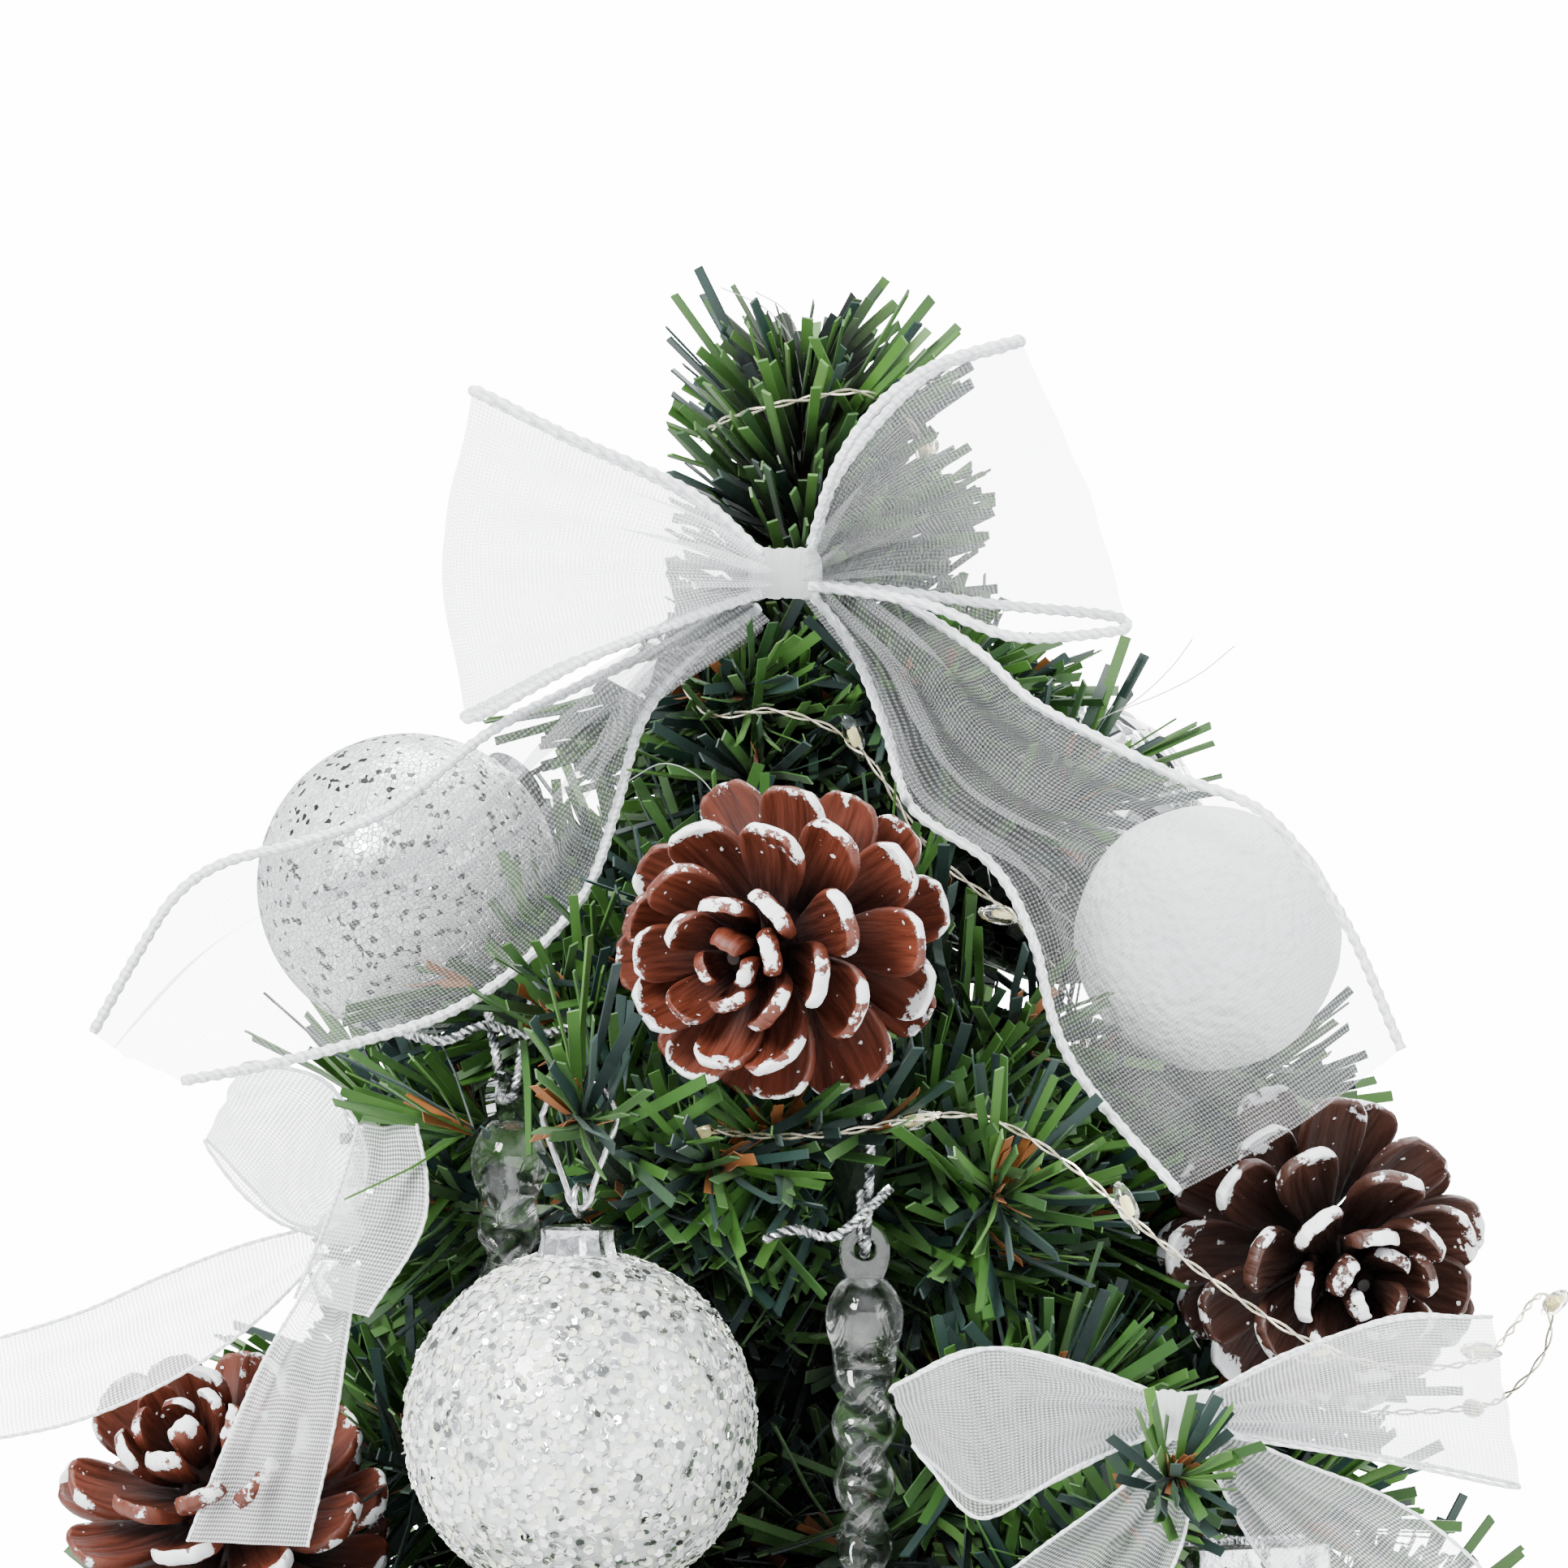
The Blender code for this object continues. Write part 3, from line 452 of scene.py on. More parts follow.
def organza_finish(name, cover, tint=0.80):
    """Sheer cloth: fine threads each way, with clear gaps between. cover is how much the threads hide."""
    f = Finish(name)
    warp = f.wave(WAVE_SCALE / WARP_PITCH, "X", place=f.uv())
    weft = f.wave(WAVE_SCALE / WEFT_PITCH, "Y", place=f.uv())
    threads = f.math("MULTIPLY", f.math("ADD", warp, weft), 0.5)
    uneven = f.noise(0.16, 3.0, place=f.stretch((1.0, 0.12, 1.0), place=f.uv()))
    fine = f.math("POWER", threads, 2.2)
    solid = f.math("ADD", f.math("MULTIPLY", fine, 2.4), f.math("MULTIPLY", uneven, 0.7))
    solid = f.math("MINIMUM", f.math("MULTIPLY", solid, cover), 0.95)
    white = f.mix(uneven, (0.92, 0.94, 0.95), (0.99, 0.99, 0.99))
    f.set(Base_Color=white, Roughness=0.55, Sheen_Weight=0.2, Specular_IOR_Level=0.3)
    f.bump(threads, 0.04, 0.5)
    through = f.add("ShaderNodeBsdfTranslucent")
    f.link(white, through.inputs["Color"])
    cloth = f.add("ShaderNodeMixShader")
    cloth.inputs[0].default_value = 0.45
    f.link(f.shader.outputs[0], cloth.inputs[1])
    f.link(through.outputs[0], cloth.inputs[2])
    clear = f.add("ShaderNodeBsdfTransparent")
    clear.inputs["Color"].default_value = (tint, tint + 0.005, tint + 0.01, 1.0)
    sheer = f.add("ShaderNodeMixShader")
    f.link(solid, sheer.inputs[0])
    f.link(clear.outputs[0], sheer.inputs[1])
    f.link(cloth.outputs[0], sheer.inputs[2])
    f.link(sheer.outputs[0], f.output.inputs["Surface"])
    return f.material


def corded_edge_finish():
    f = Finish("white_corded_edge")
    plait = f.attribute("plait")
    fuzz = f.noise(1500.0, 3.0)
    # Painted shade: the grey between the plait's ridges stands for the shade in its grooves.
    colour = f.mix(f.ramp(plait, (0.1, 0.0), (0.7, 1.0)), (0.58, 0.62, 0.65), (0.97, 0.97, 0.97))
    f.set(Base_Color=colour, Roughness=0.5, Sheen_Weight=0.6)
    return f.bump(f.math("ADD", plait, f.math("MULTIPLY", fuzz, 0.4)), 0.18).material


def sequin_finish():
    f = Finish("silver_sequin")
    tone = f.attribute("tone")
    # Painted reflection: sequins at the low end of the tone go near black, standing for silver mirroring dark
    # surroundings.
    colour = f.ramp(tone, (0.0, (0.10, 0.11, 0.10)), (0.045, (0.45, 0.47, 0.45)),
                    (0.10, (0.88, 0.89, 0.88)), (0.70, (0.97, 0.97, 0.96)), (0.94, (0.84, 0.88, 0.66)))
    f.set(Base_Color=colour, Metallic=f.ramp(tone, (0.30, 0.95), (0.55, 0.1)),
          Roughness=f.ramp(tone, (0.0, 0.15), (1.0, 0.38)))
    return f.material


def glitter_finish(name, base, painted_glint, scale, metal, shine):
    """Small flakes, each leaning its own way, on a ball, each flake coloured with a painted glint or a
    painted dark reflection.
    """
    f = Finish(name)
    flake = f.cells(scale, out="Color")
    edge = f.cells(scale, feature="DISTANCE_TO_EDGE", out="Distance")
    lean = f.add("ShaderNodeSeparateColor")
    f.link(flake, lean.inputs[0])
    # Each flake takes the base colour or a painted glint, and some go near black as a painted dark
    # reflection.
    glint_share = f.ramp(lean.outputs[0], (0.0, 0.0), (0.35, 0.35), (1.0, 1.0))
    colour = f.mix(glint_share, base, painted_glint)
    colour = f.mix(f.ramp(lean.outputs[1], (0.86, 0.0), (0.90, 1.0)), colour, (0.02, 0.022, 0.02))
    f.set(Base_Color=colour, Metallic=metal, Roughness=f.ramp(lean.outputs[2], (0.0, shine), (1.0, 0.5)))
    height = f.math("ADD", f.math("MULTIPLY", lean.outputs[2], 0.6),
                    f.ramp(edge, (0.0, 0.0), (0.08, 0.5)))
    return f.bump(height, 0.30, 0.9).material


def foil_finish():
    f = Finish("crinkled_silver_foil")
    crinkle = f.cells(420.0, feature="SMOOTH_F1")
    fine = f.noise(1050.0, 3.0)
    # Painted shade: the silver runs dark in patches, standing in for the crinkled foil's shadow lines.
    f.set(Base_Color=f.mix(fine, (0.42, 0.43, 0.44), (0.85, 0.85, 0.86)), Metallic=1.0,
          Roughness=f.ramp(fine, (0.3, 0.12), (0.7, 0.30)))
    return f.bump(f.math("ADD", crinkle, f.math("MULTIPLY", fine, 0.4)), 0.35).material


def foam_finish():
    f = Finish("white_foam_beads")
    beads = f.cells(900.0, feature="SMOOTH_F1")
    dust = f.noise(300.0, 5.0)
    f.set(Base_Color=f.mix(dust, (0.90, 0.92, 0.93), (0.98, 0.98, 0.98)), Roughness=0.85)
    f.set(Sheen_Weight=0.3)
    return f.bump(f.math("SUBTRACT", f.math("MULTIPLY", dust, 0.8), beads), 0.45).material


def cone_finish(name, dark, warm):
    """Woody scales, darker towards the root with painted shade in the gaps between them, with dry white paint
    on the rims.
    """
    f = Finish(name)
    rim = f.attribute("rim")
    lines = f.add("ShaderNodeCombineXYZ")
    f.link(f.attribute("grain"), lines.inputs[0])
    f.link(rim, lines.inputs[1])
    fibre = f.noise(3.2, 5.0, place=f.stretch((1, 0.6, 1), place=lines.outputs[0]))
    # Painted shade: each scale runs to near black at its root, in the gaps between the scales.
    wood = f.mix(f.ramp(f.math("MULTIPLY", rim, fibre), (0.12, 0.0), (0.52, 1.0)), dark, warm)
    brushed = f.noise(520.0, 4.0, rough=0.7)
    broad = f.noise(170.0, 2.0)
    uneven = f.math("ADD", f.math("MULTIPLY", brushed, 0.5), f.math("MULTIPLY", broad, 0.75))
    edge = f.math("ADD", rim, f.math("MULTIPLY", f.math("SUBTRACT", uneven, 0.66), 0.95))
    paint = f.ramp(edge, (0.925, 0.0), (0.950, 1.0))
    flecks = f.ramp(f.noise(900.0, 1.0), (0.735, 0.0), (0.745, 1.0))
    paint = f.math("MAXIMUM", paint, f.math("MULTIPLY", flecks, f.ramp(rim, (0.5, 0.0), (0.6, 1.0))))
    f.set(Base_Color=f.mix(paint, wood, (0.86, 0.87, 0.88)),
          Roughness=f.ramp(fibre, (0.35, 0.38), (0.65, 0.60)))
    return f.bump(f.math("ADD", fibre, f.math("MULTIPLY", paint, 0.8)), 0.20).material


def braid_finish():
    f = Finish("braided_silver_cord")
    weave = f.attribute("plait")
    glint = f.noise(2200.0, 2.0)
    # Painted shade: the near-black between the bright strands stands for the shade in the silver cord's
    # grooves.
    strand = f.ramp(weave, (0.25, 0.0), (0.75, 1.0))
    f.set(Base_Color=f.mix(strand, (0.07, 0.075, 0.08), (0.88, 0.89, 0.90)), Metallic=0.8,
          Roughness=f.ramp(glint, (0.3, 0.2), (0.7, 0.5)))
    return f.bump(weave, 0.12).material


FINISH = {
    "needle": needle_finish(),
    "core": core_finish(),
    "tape": tape_finish(),
    "base": wood_base_finish(),
    "steel": plain_finish("zinc_plated_weight", (0.36, 0.36, 0.37), (0.60, 0.60, 0.61), 0.3, 1.0),
    "felt": plain_finish("green_felt", (0.010, 0.035, 0.018), (0.030, 0.080, 0.040), 0.8, 0.0, 2600.0, 0.25),
    "cell": plain_finish("cell_sleeve", (0.02, 0.02, 0.022), (0.035, 0.035, 0.04), 0.28, 0.0, 500.0, 0.01),
    "switch": plain_finish("black_switch", (0.008, 0.008, 0.008), (0.022, 0.022, 0.022), 0.4),
    "wire": wire_finish(),
    "lamp": clear_finish("clear_lamp_resin", (0.93, 0.96, 0.97), 0.06, 0.03),
    "clear": clear_finish("clear_acrylic", (0.97, 0.99, 0.99), 0.03, 0.01, 0.20, 1.27),
    "organza": organza_finish("white_organza", 0.105, 0.74),
    "thin_organza": organza_finish("thin_organza", 0.26, 0.78),
    "loop_organza": organza_finish("doubled_organza", 0.32),
    "dense_organza": organza_finish("denser_organza", 0.62),
    "clear_organza": organza_finish("clearer_organza", 0.062, 0.82),
    "knot": organza_finish("gathered_organza", 1.3),
    "edge": corded_edge_finish(),
    "sequin": sequin_finish(),
    "shell": plain_finish("silvered_ball", (0.55, 0.58, 0.57), (0.86, 0.88, 0.86), 0.3, 0.3, 1400.0),
    # The glitters' second colour is a painted glint; the mirror glitter's dark first colour is a painted dark
    # reflection on silver.
    "clear_glitter": glitter_finish("pearl_glitter", (0.70, 0.75, 0.74), (0.98, 0.98, 0.97),
                                    1500.0, 0.40, 0.10),
    "mirror_glitter": glitter_finish("mirror_glitter", (0.08, 0.09, 0.09), (0.96, 0.97, 0.96),
                                     420.0, 1.0, 0.05),
    "foil": foil_finish(),
    "foam": foam_finish(),
    "cone": cone_finish("cone_scale", (0.012, 0.003, 0.002), (0.115, 0.022, 0.008)),
    "dark_cone": cone_finish("dark_cone_scale", (0.008, 0.003, 0.002), (0.050, 0.016, 0.009)),
    "braid": braid_finish(),
    "hook": plain_finish("bright_hook_wire", (0.55, 0.55, 0.56), (0.85, 0.85, 0.86), 0.15, 1.0),
    "thread": plain_finish("grey_green_thread", (0.16, 0.20, 0.17), (0.42, 0.46, 0.42), 0.3, 0.4),
    "chip": plain_finish("lamp_chip", (0.55, 0.45, 0.12), (0.85, 0.80, 0.45), 0.3),
}


def give_finish(material, *nodes):
    for node in nodes:
        mesh = NODES[node].data
        mesh.materials.clear()
        mesh.materials.append(material)


give_finish(FINISH["base"], "base_shell", "battery_cover")
give_finish(FINISH["steel"], "base_weight")
give_finish(FINISH["felt"], "foot_pad")
give_finish(FINISH["cell"], "cell_1", "cell_2")
give_finish(FINISH["switch"], "switch_slider")
give_finish(FINISH["tape"], "trunk", "collar_1", "collar_2")
give_finish(FINISH["core"], "leader", *[n for n in NODES if n.startswith(("tier_", "branch_"))])


# ---- ornaments ---------------------------------------------------------------------------------

OBSTACLES = []  # vertices and faces of what the needles have to stay out of
ROOM = []  # balls, as centre and radius, that they have to stay out of too


def keep_clear(verts, faces):
    OBSTACLES.append((np.asarray(verts, float), faces))


def clear_in_front(line, reach):
    """Nothing may cross the strip that runs forward from the line."""
    line = np.asarray(line, float)
    far = line + vec(0, -reach, 0)
    count = len(line)
    keep_clear(np.vstack([line, far]), [[i, i + 1, count + i + 1, count + i] for i in range(count - 1)])


def clear_view(centre, radius, reach):
    """No needle crosses in front of a ball of that radius."""
    for share in np.linspace(-0.9, 0.9, 7):
        half = radius * math.sqrt(1 - share ** 2)
        for a, b in (((share * radius, 0), (0, half)), ((0, share * radius), (half, 0))):
            ends = [(a[0] - b[0], 0, a[1] - b[1]), (a[0] + b[0], 0, a[1] + b[1])]
            clear_in_front(np.asarray(centre) + np.array(ends), reach)


def keep_swing_clear(points, radius, body):
    """Leaves room for a hanging piece, given as balls, to swing to the ends of its travel."""
    for joint in frame["record"]["behaviour"]["joints"]:
        if joint["child"] == body:
            pivot = Vector(joint["pos_m"]) / MM
            for share in np.linspace(0, 1, 7):
                turn = joint["range_deg"][0] * (1 - share) + joint["range_deg"][1] * share
                spin = np.array(Matrix.Rotation(math.radians(turn), 3, Vector(joint["axis"])))
                ROOM.extend((at, radius) for at in (np.asarray(points, float) - pivot) @ spin.T + pivot)


def turned_to(axis):
    """A 3 x 3 matrix whose third column is the axis."""
    z = unit(axis)
    x = unit(np.cross((0.0, 1.0, 0.0) if abs(z[1]) < 0.9 else (1.0, 0, 0), z))
    return np.stack([x, np.cross(z, x), z], 1)


def round_ball(radius, rows=40, turns=64):
    """A closed ball about the origin, as vertices and faces."""
    lean = math.pi * np.arange(1, rows) / rows
    turn = math.tau * np.arange(turns) / turns
    ring = np.stack([np.sin(lean)[:, None] * np.cos(turn), np.sin(lean)[:, None] * np.sin(turn),
                     np.repeat(np.cos(lean)[:, None], turns, 1)], -1).reshape(-1, 3)
    verts = np.vstack([ring, [[0, 0, 1.0]], [[0, 0, -1.0]]]) * radius
    top, foot = len(ring), len(ring) + 1
    faces = []
    for row in range(rows - 2):
        for k in range(turns):
            a, b = row * turns + k, row * turns + (k + 1) % turns
            faces.append([a, a + turns, b + turns, b])
    for k in range(turns):
        faces.append([top, k, (k + 1) % turns])
        last = (rows - 2) * turns
        faces.append([foot, last + (k + 1) % turns, last + k])
    return verts, faces


def model_sequin():
    """One small six-sided spangle, dished a little, lying flat at the origin."""
    deselect()
    bpy.ops.mesh.primitive_cylinder_add(vertices=6, radius=0.60 * MM, depth=0.10 * MM)
    spangle = bpy.context.object
    edit(spangle)
    pick(spangle, lambda middle, normal: normal.z > 0.9)
    bpy.ops.mesh.inset(thickness=0.15 * MM)
    bpy.ops.transform.translate(value=(0, 0, -0.03 * MM))
    bpy.ops.object.mode_set(mode="OBJECT")
    return take_mesh(spangle)


CAP_SIDES = 36


def cap_side(at):
    return round(math.atan2(at.y, at.x) / math.tau * CAP_SIDES)


def model_cap():
    """The crown cap of a ball: a low cup with a scalloped skirt, round the Z axis from 0 up."""
    deselect()
    bpy.ops.mesh.primitive_cylinder_add(vertices=CAP_SIDES, radius=4.3 * MM, depth=4.2 * MM,
                                        location=(0, 0, 2.1 * MM))
    cap = bpy.context.object
    edit(cap)
    pick(cap, lambda middle, normal: normal.z > 0.9)
    bpy.ops.mesh.inset(thickness=0.7 * MM)
    bpy.ops.transform.translate(value=(0, 0, 0.35 * MM))
    bpy.ops.mesh.inset(thickness=0.5 * MM)
    bpy.ops.transform.translate(value=(0, 0, -0.30 * MM))
    bpy.ops.mesh.select_all(action="SELECT")
    bpy.ops.mesh.bisect(plane_co=(0, 0, 1.1 * MM), plane_no=(0, 0, 1))
    bpy.ops.mesh.select_all(action="SELECT")
    bpy.ops.mesh.bisect(plane_co=(0, 0, 3.1 * MM), plane_no=(0, 0, 1))
    pick(cap, lambda at: at.z < 0.4 * MM and cap_side(at) % 3 == 0, "VERT")
    bpy.ops.transform.resize(value=(1.16, 1.16, 1.0), center_override=(0, 0, 0))
    bpy.ops.transform.translate(value=(0, 0, -0.9 * MM))
    pick(cap, lambda at: 0.9 * MM < at.z < 1.4 * MM
         and cap_side(at) % 3 != 0, "VERT")
    bpy.ops.transform.resize(value=(0.90, 0.90, 1.0), center_override=(0, 0, 0))
    pick(cap, lambda at: 2.6 * MM < at.z < 4.3 * MM and at.xy.length > 3.9 * MM
         and cap_side(at) % 2 == 0, "VERT")
    bpy.ops.transform.resize(value=(0.90, 0.90, 0.97), center_override=(0, 0, 0))
    bpy.ops.object.mode_set(mode="OBJECT")
    return take_mesh(cap)


SEQUIN = model_sequin()
CAP = model_cap()


def spangled(centre, radius, seed):
    """A skin of spangles that lean their own ways, as vertices, faces and tones."""
    rng = np.random.default_rng(seed)
    count = int(4 * math.pi * radius ** 2 / 1.02)
    i = np.arange(count) + 0.5
    up = 1 - 2 * i / count
    turn = GOLDEN * i
    out = np.stack([np.sqrt(1 - up ** 2) * np.cos(turn), np.sqrt(1 - up ** 2) * np.sin(turn), up], 1)
    out = unit(out + rng.normal(0, 0.55 / radius, out.shape))
    z = unit(out + rng.normal(0, 0.22, out.shape))
    x = unit(np.cross(z, rng.normal(0, 1, out.shape)))
    grow = rng.uniform(0.65, 1.12, count)[:, None]
    places = placing(centre + out * (radius - 0.16), x * grow, np.cross(z, x) * grow, z * grow)
    verts, faces = repeat_shape(*SEQUIN, places)
    tones = np.repeat(rng.uniform(0, 1, count), len(SEQUIN[0]))
    return verts, faces, tones


def make_ball(node, radius, skin, body, axis=(0, 0, 1.0), seed=1, spangle=None):
    """A glittered ball with its neck, and a spangled skin where one is asked for."""
    centre = BALL_CENTRES[node]
    verts, faces = round_ball(radius - (0.35 if spangle else 0.05))
    keep_clear(verts + centre, faces)
    keep_swing_clear([centre], radius + 0.8, body)
    keep_swing_clear([centre + vec(0, 0, radius + rise) for rise in (1, 4, 6)], 4.8, body)
    turn = turned_to(axis)
    mesh_piece(node + "_shell", verts @ turn.T + centre, faces, skin, body, node, 0)
    if spangle:
        verts, faces, tones = spangled(centre, radius, seed)
        piece = mesh_piece(node + "_spangles", verts, faces, spangle, body, None, 0)
        point_values(piece.data, "tone", tones)
    seat = math.sqrt(radius ** 2 - 4.4 ** 2) + 0.5
    if spangle:
        for rise in (-2.5, -1, 0.5, 2, 3.5, 5, 7):
            clear_in_front([centre + vec(x, -4.5, seat + rise) for x in (-5, 0, 5)], 34.0)
    verts, faces = CAP
    verts = verts @ turn.T + centre + turn[:, 2] * seat
    piece = mesh_piece(node + "_crown_cap", verts, faces, FINISH["foil"], body, None, 30)
    if node + "_cap" in NODES:
        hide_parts(node + "_cap")
    return centre + turn[:, 2] * (seat + 4.2)


def ring_points(centre, across, up, wide, high, count=40):
    turn = math.tau * np.arange(count) / count
    return centre + np.outer(np.cos(turn) * wide, across) + np.outer(np.sin(turn) * high, up)


def long_loop(top, foot, across, half, count=14):
    """A closed loop of two straight sides, over the top point and under the foot point."""
    up = vec(0, 0, 1)
    arc = np.linspace(0, math.pi, count)
    over = [top + across * half * math.cos(t) + up * half * math.sin(t) for t in arc]
    under = [foot - across * half * math.cos(t) * 0.35 - up * half * 0.5 * math.sin(t) for t in arc]
    return even(smooth(np.array(over + under + over[:1]), 3), 90)[:-1]


BALL_AXES = {"ball_left": (0.6, 0.5, 0.6), "ball_right": (-0.6, 0.3, 0.7)}
BALL_RADII = {"ball_front": 19.6, "ball_low": 17.7, "ball_left": 17.7, "ball_right": 17.3}
BALL_CENTRES = {"ball_front": vec(-24.8, -58.5, 319.9), "ball_low": vec(21.5, -80.4, 217.5),
                "ball_left": vec(-46, -10, 379), "ball_right": vec(31, 15, 384)}
SNOWBALL_CENTRE, SNOWBALL_RADIUS = vec(46.2, -25.0, 373.0), 15.6


def make_hook(node, cap_top):
    """The bent wire that hangs a ball from its branch."""
    low, high = (np.array(corner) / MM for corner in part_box(node + "_hook"))
    middle = (low + high) / 2
    across = unit(vec(high[0] - low[0], -(high[1] - low[1]), 0)) if node == "ball_front" else \
        unit(vec(high[0] - low[0], high[1] - low[1], 0))
    half = (np.hypot(high[0] - low[0], high[1] - low[1]) - 1.0) / 2
    top = vec(middle[0], middle[1], high[2] - 0.5 - half)
    foot = vec(middle[0], middle[1], cap_top[2] + 2.4)
    verts, faces = tube_mesh(long_loop(top, foot, across, half), 0.42, 8, True)
    mesh_piece(node + "_bent_hook", verts, faces, FINISH["hook"], BODY_OF[node], node + "_hook", 60)
    eye = ring_points(cap_top + vec(0, 0, 1.1), vec(across[1], -across[0], 0), vec(0, 0, 1), 1.5, 1.7, 24)
    verts, faces = tube_mesh(eye, 0.38, 8, True)
    mesh_piece(node + "_cap_eye", verts, faces, FINISH["hook"], BODY_OF[node], None, 60)


def make_balls():
    for node, seed in (("ball_front", 3), ("ball_low", 4)):
        top = make_ball(node, BALL_RADII[node], FINISH["shell"], BODY_OF[node], seed=seed,
                        spangle=FINISH["sequin"])
        make_hook(node, top)
    for node, finish in (("ball_left", "clear_glitter"), ("ball_right", "mirror_glitter")):
        make_ball(node, BALL_RADII[node], FINISH[finish], "tree", BALL_AXES[node])
    for side in (14, 17, 20, 23, 26):
        clear_in_front([(side, -2, z) for z in (366, 372, 378, 382)], 70.0)


def make_snowball():
    """The foam ball, with its low lumps."""
    rng = np.random.default_rng(9)
    verts, faces = round_ball(1.0, 72, 120)
    lumps = 0
    for k in (4, 7, 12, 20, 34, 50):
        lumps = lumps + np.sin(verts @ rng.normal(0, k, 3) + rng.uniform(0, 6)) / k
    verts = verts * (SNOWBALL_RADIUS - 0.35 + 0.28 * lumps)[:, None] + SNOWBALL_CENTRE
    keep_clear(verts, faces)
    clear_view(SNOWBALL_CENTRE, SNOWBALL_RADIUS, 40.0)
    clear_view(BALL_CENTRES["ball_left"] - vec(3, 0, -4), 13.0, 40.0)
    mesh_piece("foam_snowball_right", verts, faces, FINISH["foam"], "tree", "snowball_right", 0)


def model_scale():
    """One cone scale, 10 mm long from its root at the origin along +X, thick and lipped at its end."""
    deselect()
    bpy.ops.mesh.primitive_cube_add(size=1.0)
    scale = bpy.context.object
    edit(scale)
    bpy.ops.mesh.select_all(action="SELECT")
    bpy.ops.transform.resize(value=(10 * MM, 8.2 * MM, 1.1 * MM))
    bpy.ops.transform.translate(value=(5 * MM, 0, 0))
    for at in (3.2, 6.2, 8.6, 9.5):
        bpy.ops.mesh.select_all(action="SELECT")
        bpy.ops.mesh.bisect(plane_co=(at * MM, 0, 0), plane_no=(1, 0, 0))
    for at in (-3.3, -2.0, 0, 2.0, 3.3):
        bpy.ops.mesh.select_all(action="SELECT")
        bpy.ops.mesh.bisect(plane_co=(0, at * MM, 0), plane_no=(0, 1, 0))
    for low, high, wide, rise in ((-1, 1, 0.32, 0.0), (3, 3.5, 0.66, 0.2), (6, 6.5, 1.0, 0.9),
                                  (8.4, 8.8, 0.98, 1.9), (9.4, 9.6, 0.84, 2.3), (9.8, 10.2, 0.56, 2.6)):
        pick(scale, lambda at: low * MM < at.x < high * MM, "VERT")
        bpy.ops.transform.resize(value=(1, wide, 1), center_override=(0, 0, 0))
        bpy.ops.transform.translate(value=(0, 0, rise * MM))
    pick(scale, lambda at: at.x > 5 * MM and abs(at.y) < 2.4 * MM, "VERT")
    bpy.ops.transform.translate(value=(0.4 * MM, 0, -0.30 * MM))
    pick(scale, lambda at: at.x > 5 * MM and abs(at.y) < 0.5 * MM, "VERT")
    bpy.ops.transform.translate(value=(0.25 * MM, 0, 0.25 * MM))
    pick(scale, lambda at: at.x > 8 * MM, "VERT")
    bpy.ops.transform.resize(value=(1, 1, 1.5))
    bpy.ops.object.mode_set(mode="OBJECT")
    bpy.ops.object.modifier_add(type="SUBSURF")
    scale.modifiers[0].levels = scale.modifiers[0].render_levels = 1
    apply_all(scale)
    return take_mesh(scale)


SCALE = model_scale()


